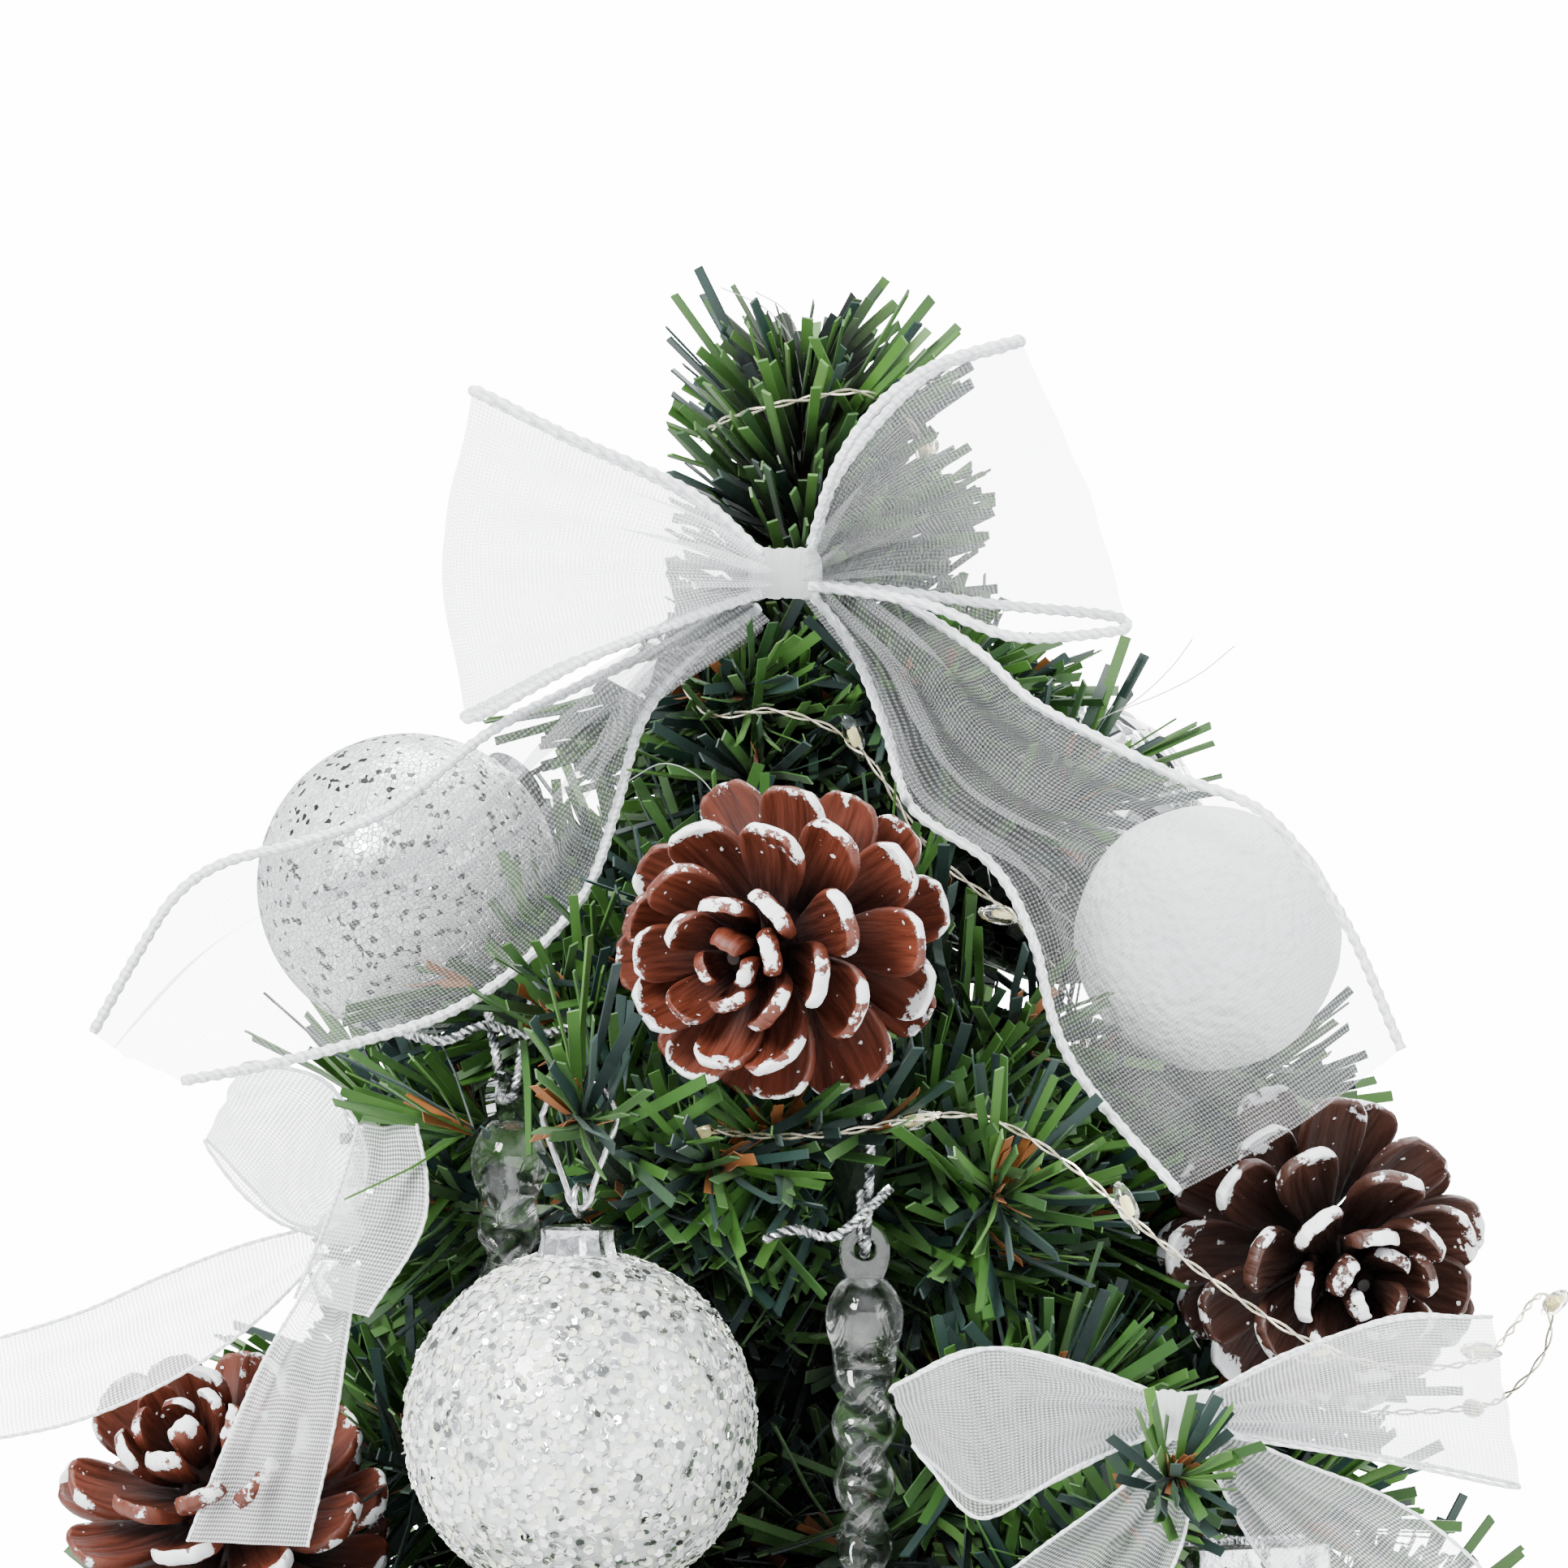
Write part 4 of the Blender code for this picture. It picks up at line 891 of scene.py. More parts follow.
def make_cone(node, aim, material, seed):
    """Rows of scales wound up a core, opening outwards, with the tip along aim."""
    rng = np.random.default_rng(seed)
    turn = turned_to(aim)
    centre = CONE_CENTRES[node]
    radius, length = CONE_RADIUS, CONE_LENGTH
    count = 46
    i = np.arange(count)
    share = (i + 0.5) / count
    height = -length * 0.40 + length * 0.74 * share ** 0.9
    body = np.sin(math.pi * (0.24 + 0.66 * share ** 0.95)) ** 0.8
    reach = radius * body * (1 + rng.normal(0, 0.035, count))
    lift = np.radians(-22 + 88 * share ** 1.2 + rng.normal(0, 5, count))
    around_axis = GOLDEN * i + rng.normal(0, 0.06, count)
    out = np.stack([np.cos(around_axis), np.sin(around_axis), np.zeros(count)], 1)
    up = vec(0, 0, 1)
    x = out * np.cos(lift)[:, None] + up * np.sin(lift)[:, None]
    z = -out * np.sin(lift)[:, None] + up * np.cos(lift)[:, None]
    y = np.cross(z, x)
    inner = reach * 0.20
    long = np.maximum(reach - inner, 4.0) / 10.6 * (1.0 + 0.22 * np.abs(np.sin(lift)))
    wide = np.clip(reach * math.tau / 12.5 / 8.2, 0.40, 0.98)
    origin = out * inner[:, None] + up * height[:, None]
    places = placing(origin, x * long[:, None], y * wide[:, None], z * (0.7 + 0.5 * wide)[:, None])
    verts, faces = repeat_shape(*SCALE, places)
    along, across = np.clip(SCALE[0][:, 0] / 10.4, 0, 1), np.abs(SCALE[0][:, 1])
    half = np.interp(along * 10.4, [0, 3.2, 6.2, 8.6, 9.5, 10.4], [1.3, 2.6, 3.9, 3.9, 3.3, 2.2])
    near_side = np.clip(across / half, 0, 1) * np.clip((along - 0.25) / 0.4, 0, 1)
    rim = np.tile(np.maximum(along * 0.99, 0.62 * along + 0.40 * near_side), count)
    grain = np.repeat(i * 7.3, len(along)) + np.tile(SCALE[0][:, 1], count) * 0.5
    core, core_faces = tube_mesh(np.array([[0, 0, z_at] for z_at in np.linspace(-0.46, 0.40, 10) * length]),
                                 radius * np.array([.1, .22, .26, .28, .28, .26, .22, .18, .12, .04]), 14)
    tail, tail_faces = tube_mesh(np.array([[0, 0, -length / 2 - 8.5], [0, 0, -length * 0.4]]), 0.7, 8)
    verts, faces = join_meshes([(verts, faces), (core, core_faces), (tail, tail_faces)])
    rim = np.concatenate([rim, np.zeros(len(core) + len(tail))])
    grain = np.concatenate([grain, np.zeros(len(core) + len(tail))])
    verts = verts @ turn.T + centre
    piece = mesh_piece(node + "_scales", verts, faces, material, "tree", node, 55)
    point_values(piece.data, "rim", rim)
    point_values(piece.data, "grain", grain)
    hull, hull_faces = round_ball(1.0, 12, 20)
    keep_clear((hull * vec(radius * 0.9, radius * 0.9, length * 0.5)) @ turn.T + centre, hull_faces)


CONE_RADIUS, CONE_LENGTH = 18.2, 31.0
CONE_CENTRES = {"pine_cone_front": vec(-3, -60, 373), "pine_cone_right": vec(59.5, -30, 337),
                "pine_cone_left": vec(-66, -30, 308), "pine_cone_low": vec(-18, -93, 264)}


def make_cones():
    make_cone("pine_cone_front", (-0.38, -0.90, -0.10), FINISH["cone"], 11)
    make_cone("pine_cone_right", (0.25, -0.85, -0.20), FINISH["dark_cone"], 12)
    make_cone("pine_cone_left", (-0.25, -0.60, 0.55), FINISH["cone"], 13)
    make_cone("pine_cone_low", (0.10, -0.95, -0.20), FINISH["dark_cone"], 14)


ICICLE_RADIUS, ICICLE_LENGTH = 4.05, 66.0
ICICLES = {"left": (vec(-33.7, -28.3, 366.3), -140.0), "right": (vec(6.7, -47.5, 349.7), -82.0),
           "low": (vec(-50.1, -66.4, 250.3), -127.0)}


def make_icicle(name, pivot, azimuth):
    """A clear twisted drop with a pointed tab, on its loop of braided cord."""
    node, body = f"icicle_{name}", f"hung_icicle_{name}"
    eye = pivot - vec(0, 0, 11.0)
    top = eye[2] - 3.0
    rows, sides = 200, 40
    share = np.linspace(0, 1, rows)
    head = np.sqrt(1 - (1 - np.clip(share / 0.07, 0, 1)) ** 2)
    point = np.minimum(1.0, 0.1 + (1 - share) * 30)
    radius = ICICLE_RADIUS * (1 - 0.72 * share ** 1.6) * (0.34 + 0.66 * head) * point
    turn = np.radians(azimuth + 1760.0 * share)
    k = math.tau * np.arange(sides) / sides
    lobes = 1 - 0.36 * np.sin(k) ** 2
    twist = np.clip((share - 0.10) / 0.09, 0, 1)[:, None]
    swell, waist = np.exp(-((share - 0.07) / 0.04) ** 2), np.exp(-((share - 0.155) / 0.03) ** 2)
    radius = radius * (1 + 0.10 * swell - 0.10 * waist)
    ring = radius[:, None] * (1 + twist * (lobes[None, :] - 1))
    angle = turn[:, None] + k[None, :]
    verts = np.stack([eye[0] + ring * np.cos(angle), eye[1] + ring * np.sin(angle),
                      np.repeat((top - ICICLE_LENGTH * share)[:, None], sides, 1)], -1).reshape(-1, 3)
    faces = []
    for row in range(rows - 1):
        for s in range(sides):
            a, b = row * sides + s, row * sides + (s + 1) % sides
            faces.append([a, a + sides, b + sides, b])
    faces.append(list(range(sides)))
    faces.append([(rows - 1) * sides + s for s in range(sides)][::-1])
    radial, across = around(azimuth, 1, 0), around(azimuth + 90, 1, 0)
    if name == "right":
        radial, across = across, radial
    tab = make_tab_outline()
    flat = [eye + radial * x + vec(0, 0, z) for x, z in tab]
    count = len(flat)
    near = np.array(flat) - across * 0.9
    far = np.array(flat) + across * 0.9
    half = count // 2
    tab_faces = []
    for side, flip in ((0, False), (count, True)):
        for i in range(half):
            j = (i + 1) % half
            face = [side + i, side + j, side + half + j, side + half + i]
            tab_faces.append(face[::-1] if flip else face)
    for i in range(half):
        j = (i + 1) % half
        tab_faces.append([i, count + i, count + j, j])
        tab_faces.append([half + j, count + half + j, count + half + i, half + i])
    verts, faces = join_meshes([(verts, faces), (np.vstack([near, far]), tab_faces)])
    mesh_piece(node + "_drop", verts, faces, FINISH["clear"], body, node, 35)
    keep_clear(verts, faces)
    keep_swing_clear([vec(eye[0], eye[1], top - ICICLE_LENGTH * n / 14) for n in range(-3, 15)], 5.0, body)
    if name != "low":
        for side in (-3.4, -1.2, 1.2, 3.4):
            clear_in_front(eye + np.array([[side, -2, z] for z in (8, 3, -5, -20, -40, -60)]), 46.0)
    loop = long_loop(pivot, eye - vec(0, 0, -1.6), across, 4.3)
    line = np.vstack([loop, loop[:1]])
    verts, faces = twisted_pair(line, 0.30, 2.2, strands=3, sides=6, step=0.4)
    piece = mesh_piece(node + "_cord", verts, faces, FINISH["braid"], body, f"icicle_loop_{name}", 0)
    plait_values(piece, verts)


def make_tab_outline():
    """Outer rim then the eye's rim of the tab, as the same number of points each, from the side."""
    outer, inner = [], []
    for i in range(28):
        t = math.tau * i / 28
        x, z = math.sin(t), math.cos(t)
        outer.append((2.75 * x, (2.8 if z > 0 else 4.6) * z))
        inner.append((1.35 * x, 1.35 * z))
    return outer + inner


def plait_values(piece, verts, pitch=1.3):
    """A slanting light and dark pattern that follows a cord's strands, whose dark bands are painted shade in
    the grooves between them.
    """
    along = np.asarray(verts) @ vec(1.1, 0.7, 1.3)
    point_values(piece.data, "plait", 0.5 + 0.5 * np.sin(along * math.tau / pitch))


def make_icicles():
    for name, (pivot, azimuth) in ICICLES.items():
        make_icicle(name, pivot, azimuth)
    ties = [[(-46, -34, 362.6), (-41, -36, 361.6), (-36, -37, 363.4), (-31, -37, 362.2), (-25, -35, 363.6)],
            [(-4.5, -58, 340.4), (-1, -60, 341.6), (3, -60.5, 340.8), (6.6, -60, 343.4), (9.4, -57, 346.0)]]
    cords = [twisted_pair(smooth(tie, 10), 0.30, 2.0, strands=3, sides=6, step=0.4) for tie in ties]
    for tie in ties:
        clear_in_front(tie, 22.0)
    verts, faces = join_meshes(cords)
    piece = mesh_piece("icicle_cord_ties", verts, faces, FINISH["braid"], "tree", None, 0)
    plait_values(piece, verts)


def make_gift_box():
    """A small wrapped box with folded foil ends and a crossed thread."""
    low, high = (np.array(corner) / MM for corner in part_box("gift_box"))
    middle = (low + high) / 2
    deselect()
    bpy.ops.mesh.primitive_cube_add(size=1.0)
    parcel = bpy.context.object
    edit(parcel)
    bpy.ops.mesh.select_all(action="SELECT")
    bpy.ops.transform.resize(value=(16.8 * MM, 13.8 * MM, 12.8 * MM))
    pick(parcel, lambda at, normal: abs(normal.x) > 0.9)
    bpy.ops.mesh.inset(thickness=1.6 * MM, use_individual=True)
    bpy.ops.transform.resize(value=(0.955, 1, 1))
    bpy.ops.mesh.inset(thickness=2.0 * MM, use_individual=True)
    bpy.ops.object.mode_set(mode="OBJECT")
    bevel = parcel.modifiers.new("Bevel", "BEVEL")
    bevel.width, bevel.segments = 0.5 * MM, 2
    apply_all(parcel)
    verts, faces = take_mesh(parcel)
    turn = math.radians(25)
    spin = np.array([[math.cos(turn), -math.sin(turn), 0], [math.sin(turn), math.cos(turn), 0], [0, 0, 1]])
    verts = verts @ spin.T + middle
    keep_clear(verts, faces)
    mesh_piece("foil_gift_box", verts, faces, FINISH["foil"], "tree", "gift_box", 30)
    bands = []
    for a, half_width in ((vec(1, 0, 0), 8.6), (vec(0, 1, 0), 7.1)):
        out, up = spin @ a * half_width, vec(0, 0, 6.6)
        corner = [middle + out * s + up * t for s, t in ((1, 1), (-1, 1), (-1, -1), (1, -1))]
        line = even(np.vstack([corner, corner[:1]]), 80)
        bands.append(twisted_pair(line, 0.28, 2.0, step=0.5))
    verts, faces = join_meshes(bands)
    piece = mesh_piece("gift_box_thread", verts, faces, FINISH["braid"], "tree", None, 0)
    plait_values(piece, verts)


# ---- bows --------------------------------------------------------------------------------------


def cloth_mesh(name, rows, material, node, flat, edge):
    """A ribbon from a grid of points, rows across and columns along, with a corded edge on each side."""
    grid = np.asarray(rows, float)
    across, along = grid.shape[:2]
    verts = grid.reshape(-1, 3)
    faces = []
    for r in range(across - 1):
        for c in range(along - 1):
            a = r * along + c
            faces.append([a, a + 1, a + along + 1, a + along])
    piece = mesh_piece(name, verts, faces, material, "tree", node, 0)
    run = np.concatenate([[0], np.cumsum(np.linalg.norm(np.diff(grid[across // 2], axis=0), axis=1))])
    uv = piece.data.uv_layers.new(name="weave")
    wide = flat[1] / MM
    values = []
    for loop in piece.data.loops:
        r, c = divmod(loop.vertex_index, along)
        values += [run[c], wide * r / (across - 1)]
    uv.data.foreach_set("uv", values)
    hems = []
    for line in (grid[0], grid[-1]):
        line = even(line, int(line_length(line) / 0.42))
        bulge = 1 + 0.16 * np.sin(np.arange(len(line)) * math.tau / 4.0)
        hems.append(tube_mesh(line, edge * bulge, 8))
    edge_verts, edge_faces = join_meshes(hems)
    hem = mesh_piece(name + "_edge", edge_verts, edge_faces, FINISH["edge"], "tree", None, 0)
    plait_values(hem, edge_verts, 1.5)
    keep_clear(verts, faces)


def folds(rails, across, along, depth, waves, cut, seed, free=False, crease=False):
    """A grid lofted over the rails, pleated as deeply as its full cut width needs at each place."""
    rng = np.random.default_rng(seed)
    lines = np.array([even(smooth(rail, 12), along) for rail in rails])
    at = np.linspace(0, 1, across)
    grid = np.empty((across, along, 3))
    if len(rails) == 2:
        grid = lines[0][None] * (1 - at)[:, None, None] + lines[1][None] * at[:, None, None]
    else:
        for c in range(along):
            curve = even(lines[:, c], 73) if crease else smooth(lines[:, c], 16)
            place = np.linspace(0, 1, len(curve))
            for k in range(3):
                grid[:, c, k] = np.interp(at, place, curve[:, k])
    normal = unit(np.cross(np.gradient(grid, axis=1), np.gradient(grid, axis=0)))
    wide = np.linalg.norm(np.diff(grid, axis=0), axis=2).sum(0)
    u = np.linspace(0, 1, along)[None, :]
    v = at[:, None]
    wave = 0
    for n in range(3):
        turn = v * (waves + 0.7 * n) + 0.16 * np.sin(u * (2.2 + n) + n + rng.uniform(0, 6))
        wave = wave + np.sin(turn * math.tau + rng.uniform(0, 6)) / (1 + 0.9 * n)
    room = np.sqrt(np.maximum(cut ** 2 * 0.96 - wide ** 2, (0.10 * cut) ** 2)) / (5.2 * waves)
    rows = np.minimum(1.0, np.minimum(v, 1 - v) * 9 + 0.25)
    if free:
        rows = rows * (1 - 0.8 * np.clip((u - 0.45) / 0.55, 0, 1) ** 1.5)
    else:
        rows = rows * (1 - 0.9 * np.exp(-((u - 0.5) / 0.17) ** 2))
    wave = wave * rows * room[None, :] * depth
    wave = wave + 0.12 * np.sin(u * 41 + 5 * np.sin(v * 5 + u * 9)) * np.sin(v * math.pi)
    return grid + normal * wave[..., None]


# Each rail runs from the knot out along the front, round the fold, and back behind.
LEFT_LOOP_RAILS = [
    [(-5.0, -28.5, 417.0), (-13.1, -30.5, 423.9), (-26.9, -33.5, 430.2), (-36.4, -33.0, 435.0),
     (-37.6, -31.5, 435.4), (-36.2, -28.0, 434.8), (-26.6, -26.6, 430.0), (-13.0, -25.6, 423.6),
     (-5.0, -25.0, 416.8)],
    [(-5.0, -29.0, 414.8), (-13.0, -34.0, 416.6), (-25.0, -37.0, 418.0), (-36.0, -36.5, 417.2),
     (-41.2, -31.5, 416.6), (-37.0, -27.0, 415.6), (-25.0, -25.0, 415.4), (-13.0, -25.4, 415.0),
     (-5.0, -25.0, 414.4)],
    [(-5.0, -28.5, 412.4), (-13.0, -31.5, 409.6), (-24.5, -34.5, 405.0), (-36.0, -34.0, 398.8),
     (-38.6, -31.0, 398.4), (-36.0, -28.0, 399.8), (-27.0, -26.6, 404.4), (-15.0, -25.8, 408.8),
     (-5.0, -25.0, 412.6)],
]
RIGHT_LOOP_RAILS = [
    [(0.9, -28.5, 418.0), (3.6, -30.0, 426.6), (8.3, -32.0, 433.6), (14.7, -33.5, 438.2),
     (23.1, -34.0, 440.8), (24.6, -32.0, 441.0), (22.9, -30.0, 440.5), (13.8, -28.0, 437.2),
     (4.2, -26.5, 426.6), (0.9, -25.5, 417.6)],
    [(1.2, -29.0, 415.6), (6.5, -33.5, 419.2), (13.0, -36.5, 421.8), (21.0, -37.8, 423.2),
     (30.6, -36.0, 423.8), (32.2, -32.5, 423.4), (29.0, -29.0, 422.6), (18.0, -27.0, 420.4),
     (8.0, -26.0, 417.4), (1.2, -25.5, 415.2)],
    [(0.9, -28.5, 413.4), (7.5, -31.5, 412.6), (14.7, -33.5, 411.0), (23.9, -35.0, 407.4),
     (35.0, -34.0, 408.0), (36.6, -32.0, 409.0), (34.0, -29.5, 410.0), (22.0, -28.0, 411.2),
     (10.0, -26.5, 412.8), (0.9, -25.5, 413.6)],
]
LEFT_TAIL_RAILS = [
    [(-6.6, -27.0, 411.8), (-15.0, -29.0, 407.0), (-26.8, -31.0, 401.4), (-35.9, -32.5, 396.6),
     (-47.0, -33.0, 388.0), (-57.0, -33.0, 384.2), (-66.0, -33.0, 381.8), (-71.5, -33.5, 378.0),
     (-76.0, -34.5, 371.0), (-80.6, -36.0, 362.6)],
    [(-6.0, -28.5, 411.4), (-14.5, -32.5, 405.0), (-23.0, -36.5, 396.0), (-31.0, -40.0, 386.5),
     (-41.0, -42.5, 380.0), (-51.0, -44.0, 376.0), (-60.0, -45.0, 372.6), (-67.0, -45.5, 368.8),
     (-72.0, -46.0, 364.4), (-76.2, -47.0, 360.4)],
    [(-5.4, -27.0, 411.2), (-12.4, -29.5, 405.9), (-18.6, -32.0, 398.6), (-21.8, -33.5, 387.5),
     (-25.0, -35.5, 378.4), (-32.0, -38.0, 370.4), (-40.0, -42.0, 365.0), (-50.0, -46.0, 361.8),
     (-60.0, -50.0, 359.4), (-69.1, -54.0, 357.8)],
]
RIGHT_TAIL_RAILS = [
    [(10.1, -27.5, 412.2), (19.3, -32.0, 405.9), (25.6, -36.0, 399.9), (32.8, -40.0, 395.8),
     (41.9, -43.0, 391.3), (51.9, -46.0, 387.0), (60.1, -49.0, 375.7), (66.4, -51.5, 361.2)],
    [(2.6, -28.0, 412.2), (11.0, -34.5, 404.5), (16.0, -40.5, 396.0), (23.0, -45.5, 389.0),
     (34.0, -48.5, 383.5), (41.0, -50.5, 373.0), (47.0, -52.0, 363.0), (54.6, -53.0, 352.6)],
    [(0.9, -27.5, 412.2), (5.4, -30.0, 405.9), (9.2, -33.5, 396.8), (12.2, -37.0, 388.0),
     (21.0, -40.0, 381.8), (25.6, -43.5, 373.5), (29.6, -47.0, 360.0), (41.7, -50.5, 345.2)],
]
# Name, rails, finish, CAD node, how it is held, cut length, columns, waves and seed, then whether it
# hangs free and whether it is creased
BIG_BOW = (
    ("bow_left_loop_ribbon", LEFT_LOOP_RAILS, "loop_organza",
     "bow_loop_left", "gathered", 77, 150, 4.0, 2),
    ("bow_right_loop_ribbon", RIGHT_LOOP_RAILS, "clear_organza",
     "bow_loop_right", "gathered", 77, 150, 4.0, 5),
    ("bow_left_tail_ribbon", LEFT_TAIL_RAILS, "organza",
     "bow_tail_left", "hung", 88, 150, 3.2, 8, True, True),
    ("bow_right_tail_ribbon", RIGHT_TAIL_RAILS, "organza",
     "bow_tail_right", "hung", 92, 160, 3.6, 13, True),
)
WIDE_RIBBON = 37.0


def make_big_bow():
    for name, rails, finish, node, held, long, columns, waves, seed, *way in BIG_BOW:
        grid = folds(rails, 72, columns, 1.0, waves, WIDE_RIBBON, seed, *way)
        cloth_mesh(name, grid, FINISH[finish], node, (long * MM, WIDE_RIBBON * MM), 0.60)
    make_knot("bow_knot", "bow_knot", vec(-2.2, -26.2, 414.8), (4.1, 4.2, 3.7), 21)


def make_knot(name, node, centre, size, seed):
    """The wrap over a bow's middle, drawn tight into creases."""
    rng = np.random.default_rng(seed)
    verts, faces = round_ball(1.0, 90, 140)
    turn = np.arctan2(verts[:, 1], verts[:, 2])
    x = np.clip(verts[:, 0], -0.999, 0.999)
    barrel = np.minimum(np.sqrt((1 - x ** 6) / (1 - x ** 2)), 2.4) * (0.80 + 0.20 * x ** 2)
    crease = 0
    for n in range(6):
        sway = 0.9 * np.sin(turn + n) + 0.3 * np.sin(3 * turn + 2 * n)
        slant = x * (3.0 + 2.3 * n) + sway + rng.uniform(0, 6)
        crease = crease + (1 - np.abs(np.sin(slant))) ** 2 / (2.0 + 0.7 * n)
    girth = barrel * (1 - 0.12 * crease)
    verts = np.stack([x * (1 + 0.05 * np.sin(2 * turn + seed)), verts[:, 1] * girth, verts[:, 2] * girth], 1)
    verts = verts * vec(*size) + centre
    keep_clear(verts, faces)
    mesh_piece(f"{name}_wrap", verts, faces, FINISH["knot"], "tree", node, 0)


# Name, how it is held, cut length and width, depth and number of the waves, and seed, then its two rails
RIGHT_BOW = (
    ("right_bow_outer_loop", "gathered", 66, 22, 0.7, 2.2, 31, (
        [(43.6, -79.5, 325.0), (52.0, -81.0, 329.5), (63.0, -82.0, 333.0), (72.2, -81.5, 333.4),
         (74.0, -79.0, 333.2), (71.6, -76.5, 333.0), (62.0, -76.0, 332.6), (43.6, -76.5, 324.8)],
        [(43.8, -79.5, 320.6), (53.0, -82.0, 319.4), (64.0, -82.5, 317.6), (75.0, -81.5, 315.2),
         (77.0, -79.0, 315.0), (74.0, -76.5, 315.6), (62.0, -76.0, 318.0), (43.8, -76.5, 320.9)],
    )),
    ("right_bow_inner_loop", "gathered", 56, 20, 0.7, 2.0, 33, (
        [(38.0, -79.5, 325.0), (29.0, -81.5, 328.4), (19.6, -82.0, 330.0), (10.6, -81.0, 326.4),
         (9.2, -79.0, 325.2), (10.8, -76.5, 326.2), (20.4, -76.0, 329.6), (38.0, -76.5, 324.8)],
        [(37.8, -79.5, 320.6), (28.5, -82.0, 317.0), (19.0, -82.5, 311.8), (13.6, -81.0, 317.0),
         (11.6, -79.0, 319.4), (13.8, -76.5, 317.2), (21.0, -76.0, 313.0), (37.8, -76.5, 320.8)],
    )),
    ("right_bow_inner_tail", "hung", 42, 22, 0.9, 1.8, 35, (
        [(39.5, -78.5, 320.0), (33.0, -80.5, 314.0), (24.0, -81.5, 307.5), (16.0, -81.5, 300.5),
         (12.4, -81.0, 290.0)],
        [(42.0, -78.5, 318.8), (40.5, -81.0, 309.0), (36.0, -83.0, 300.0), (33.4, -83.5, 292.0),
         (31.4, -83.0, 284.0)],
    )),
    ("right_bow_outer_tail", "hung", 44, 22, 0.9, 1.7, 37, (
        [(45.4, -78.0, 321.0), (53.0, -79.0, 317.6), (63.0, -79.0, 313.6), (72.0, -78.0, 307.0),
         (80.6, -77.0, 296.0)],
        [(43.0, -78.5, 318.8), (48.0, -80.0, 309.0), (54.0, -80.5, 301.0), (60.0, -80.0, 294.0),
         (65.0, -79.0, 286.5)],
    )),
)
LEFT_BOW = (
    ("left_bow_upper_loop", "gathered", 40, 16.5, 0.5, 1.2, 41, (
        [(-49.8, -39.0, 343.0), (-49.4, -41.5, 350.0), (-53.6, -43.0, 357.0), (-61.0, -43.0, 359.4),
         (-63.6, -40.5, 358.8), (-61.0, -38.0, 358.9), (-53.0, -37.2, 356.0), (-50.0, -36.6, 343.0)],
        [(-54.4, -39.0, 339.6), (-59.4, -42.0, 341.6), (-63.4, -43.5, 345.0), (-66.8, -42.5, 349.4),
         (-67.4, -40.5, 350.6), (-66.0, -38.0, 349.0), (-59.4, -37.2, 342.0), (-54.4, -36.6, 340.0)],
    )),
    ("left_bow_front_flap", "hung", 22, 11.5, 0.5, 1.2, 43, (
        [(-50.2, -43.0, 352.3), (-51.6, -45.0, 347.0), (-54.2, -46.0, 340.0), (-57.1, -46.0, 333.1)],
        [(-43.6, -43.0, 352.5), (-42.3, -45.0, 346.0), (-43.2, -46.5, 340.0), (-48.9, -46.5, 331.1)],
    )),
    ("left_bow_side_tail", "hung", 43, 16.5, 0.6, 1.5, 45, (
        [(-54.0, -38.4, 341.0), (-63.0, -40.0, 338.8), (-72.0, -41.0, 335.4), (-82.0, -41.0, 331.0),
         (-95.0, -40.0, 327.0)],
        [(-54.4, -38.4, 337.4), (-62.0, -40.5, 330.0), (-71.0, -41.5, 323.8), (-82.0, -41.5, 319.0),
         (-94.0, -40.5, 316.4)],
    )),
    ("left_bow_lower_tail", "hung", 34, 18, 0.8, 1.5, 47, (
        [(-50.4, -39.4, 336.4), (-51.4, -44.0, 328.0), (-52.6, -46.5, 319.0), (-55.6, -47.0, 305.4)],
        [(-54.2, -39.4, 336.6), (-60.0, -44.5, 327.0), (-64.6, -47.0, 317.0), (-69.0, -47.0, 306.0)],
    )),
)


def make_small_bow(knot, finish, strips):
    """Strips of the narrow ribbon. The first of them stands for the bow's CAD node."""
    for count, (name, held, long, wide, depth, waves, seed, rails) in enumerate(strips):
        grid = folds(rails, 40, 90, depth, waves * 1.4, wide, seed, held == "hung")
        cloth_mesh(name, grid, FINISH[finish], None if count else knot, (long * MM, wide * MM),
                   0.21)


def make_small_bows():
    make_small_bow("small_bow_right", "thin_organza", RIGHT_BOW)
    make_knot("small_bow_right", None, vec(40.9, -79.2, 322.6), (3.4, 3.2, 3.4), 39)
    make_small_bow("small_bow_left", "dense_organza", LEFT_BOW)
    make_knot("small_bow_left", None, vec(-52.4, -38.0, 340.4), (2.6, 2.0, 2.2), 49)


# ---- needles -----------------------------------------------------------------------------------


NEEDLE_LENGTH, NEEDLE_BEND = 18.0, 1.8


def model_needle():
    """One flat cut needle, 18 mm long from its root at the origin along +Z, square at its end."""
    deselect()
    bpy.ops.mesh.primitive_cube_add(size=1.0)
    needle = bpy.context.object
    edit(needle)
    bpy.ops.mesh.select_all(action="SELECT")
    bpy.ops.transform.resize(value=(1.25 * MM, 0.24 * MM, NEEDLE_LENGTH * MM))
    bpy.ops.transform.translate(value=(0, 0, NEEDLE_LENGTH / 2 * MM))
    bpy.ops.mesh.bisect(plane_co=(0, 0, NEEDLE_LENGTH / 2 * MM), plane_no=(0, 0, 1))
    pick(needle, lambda at: at.z < 1 * MM, "VERT")
    bpy.ops.transform.resize(value=(0.7, 1, 1))
    pick(needle, lambda at: at.z > 17 * MM, "VERT")
    bpy.ops.transform.translate(value=(0, NEEDLE_BEND * MM, 0))
    pick(needle, lambda at: 8 * MM < at.z < 10 * MM, "VERT")
    bpy.ops.transform.translate(value=(0, 0.45 * MM, 0))
    bpy.ops.object.mode_set(mode="OBJECT")
    return take_mesh(needle)


NEEDLE = model_needle()

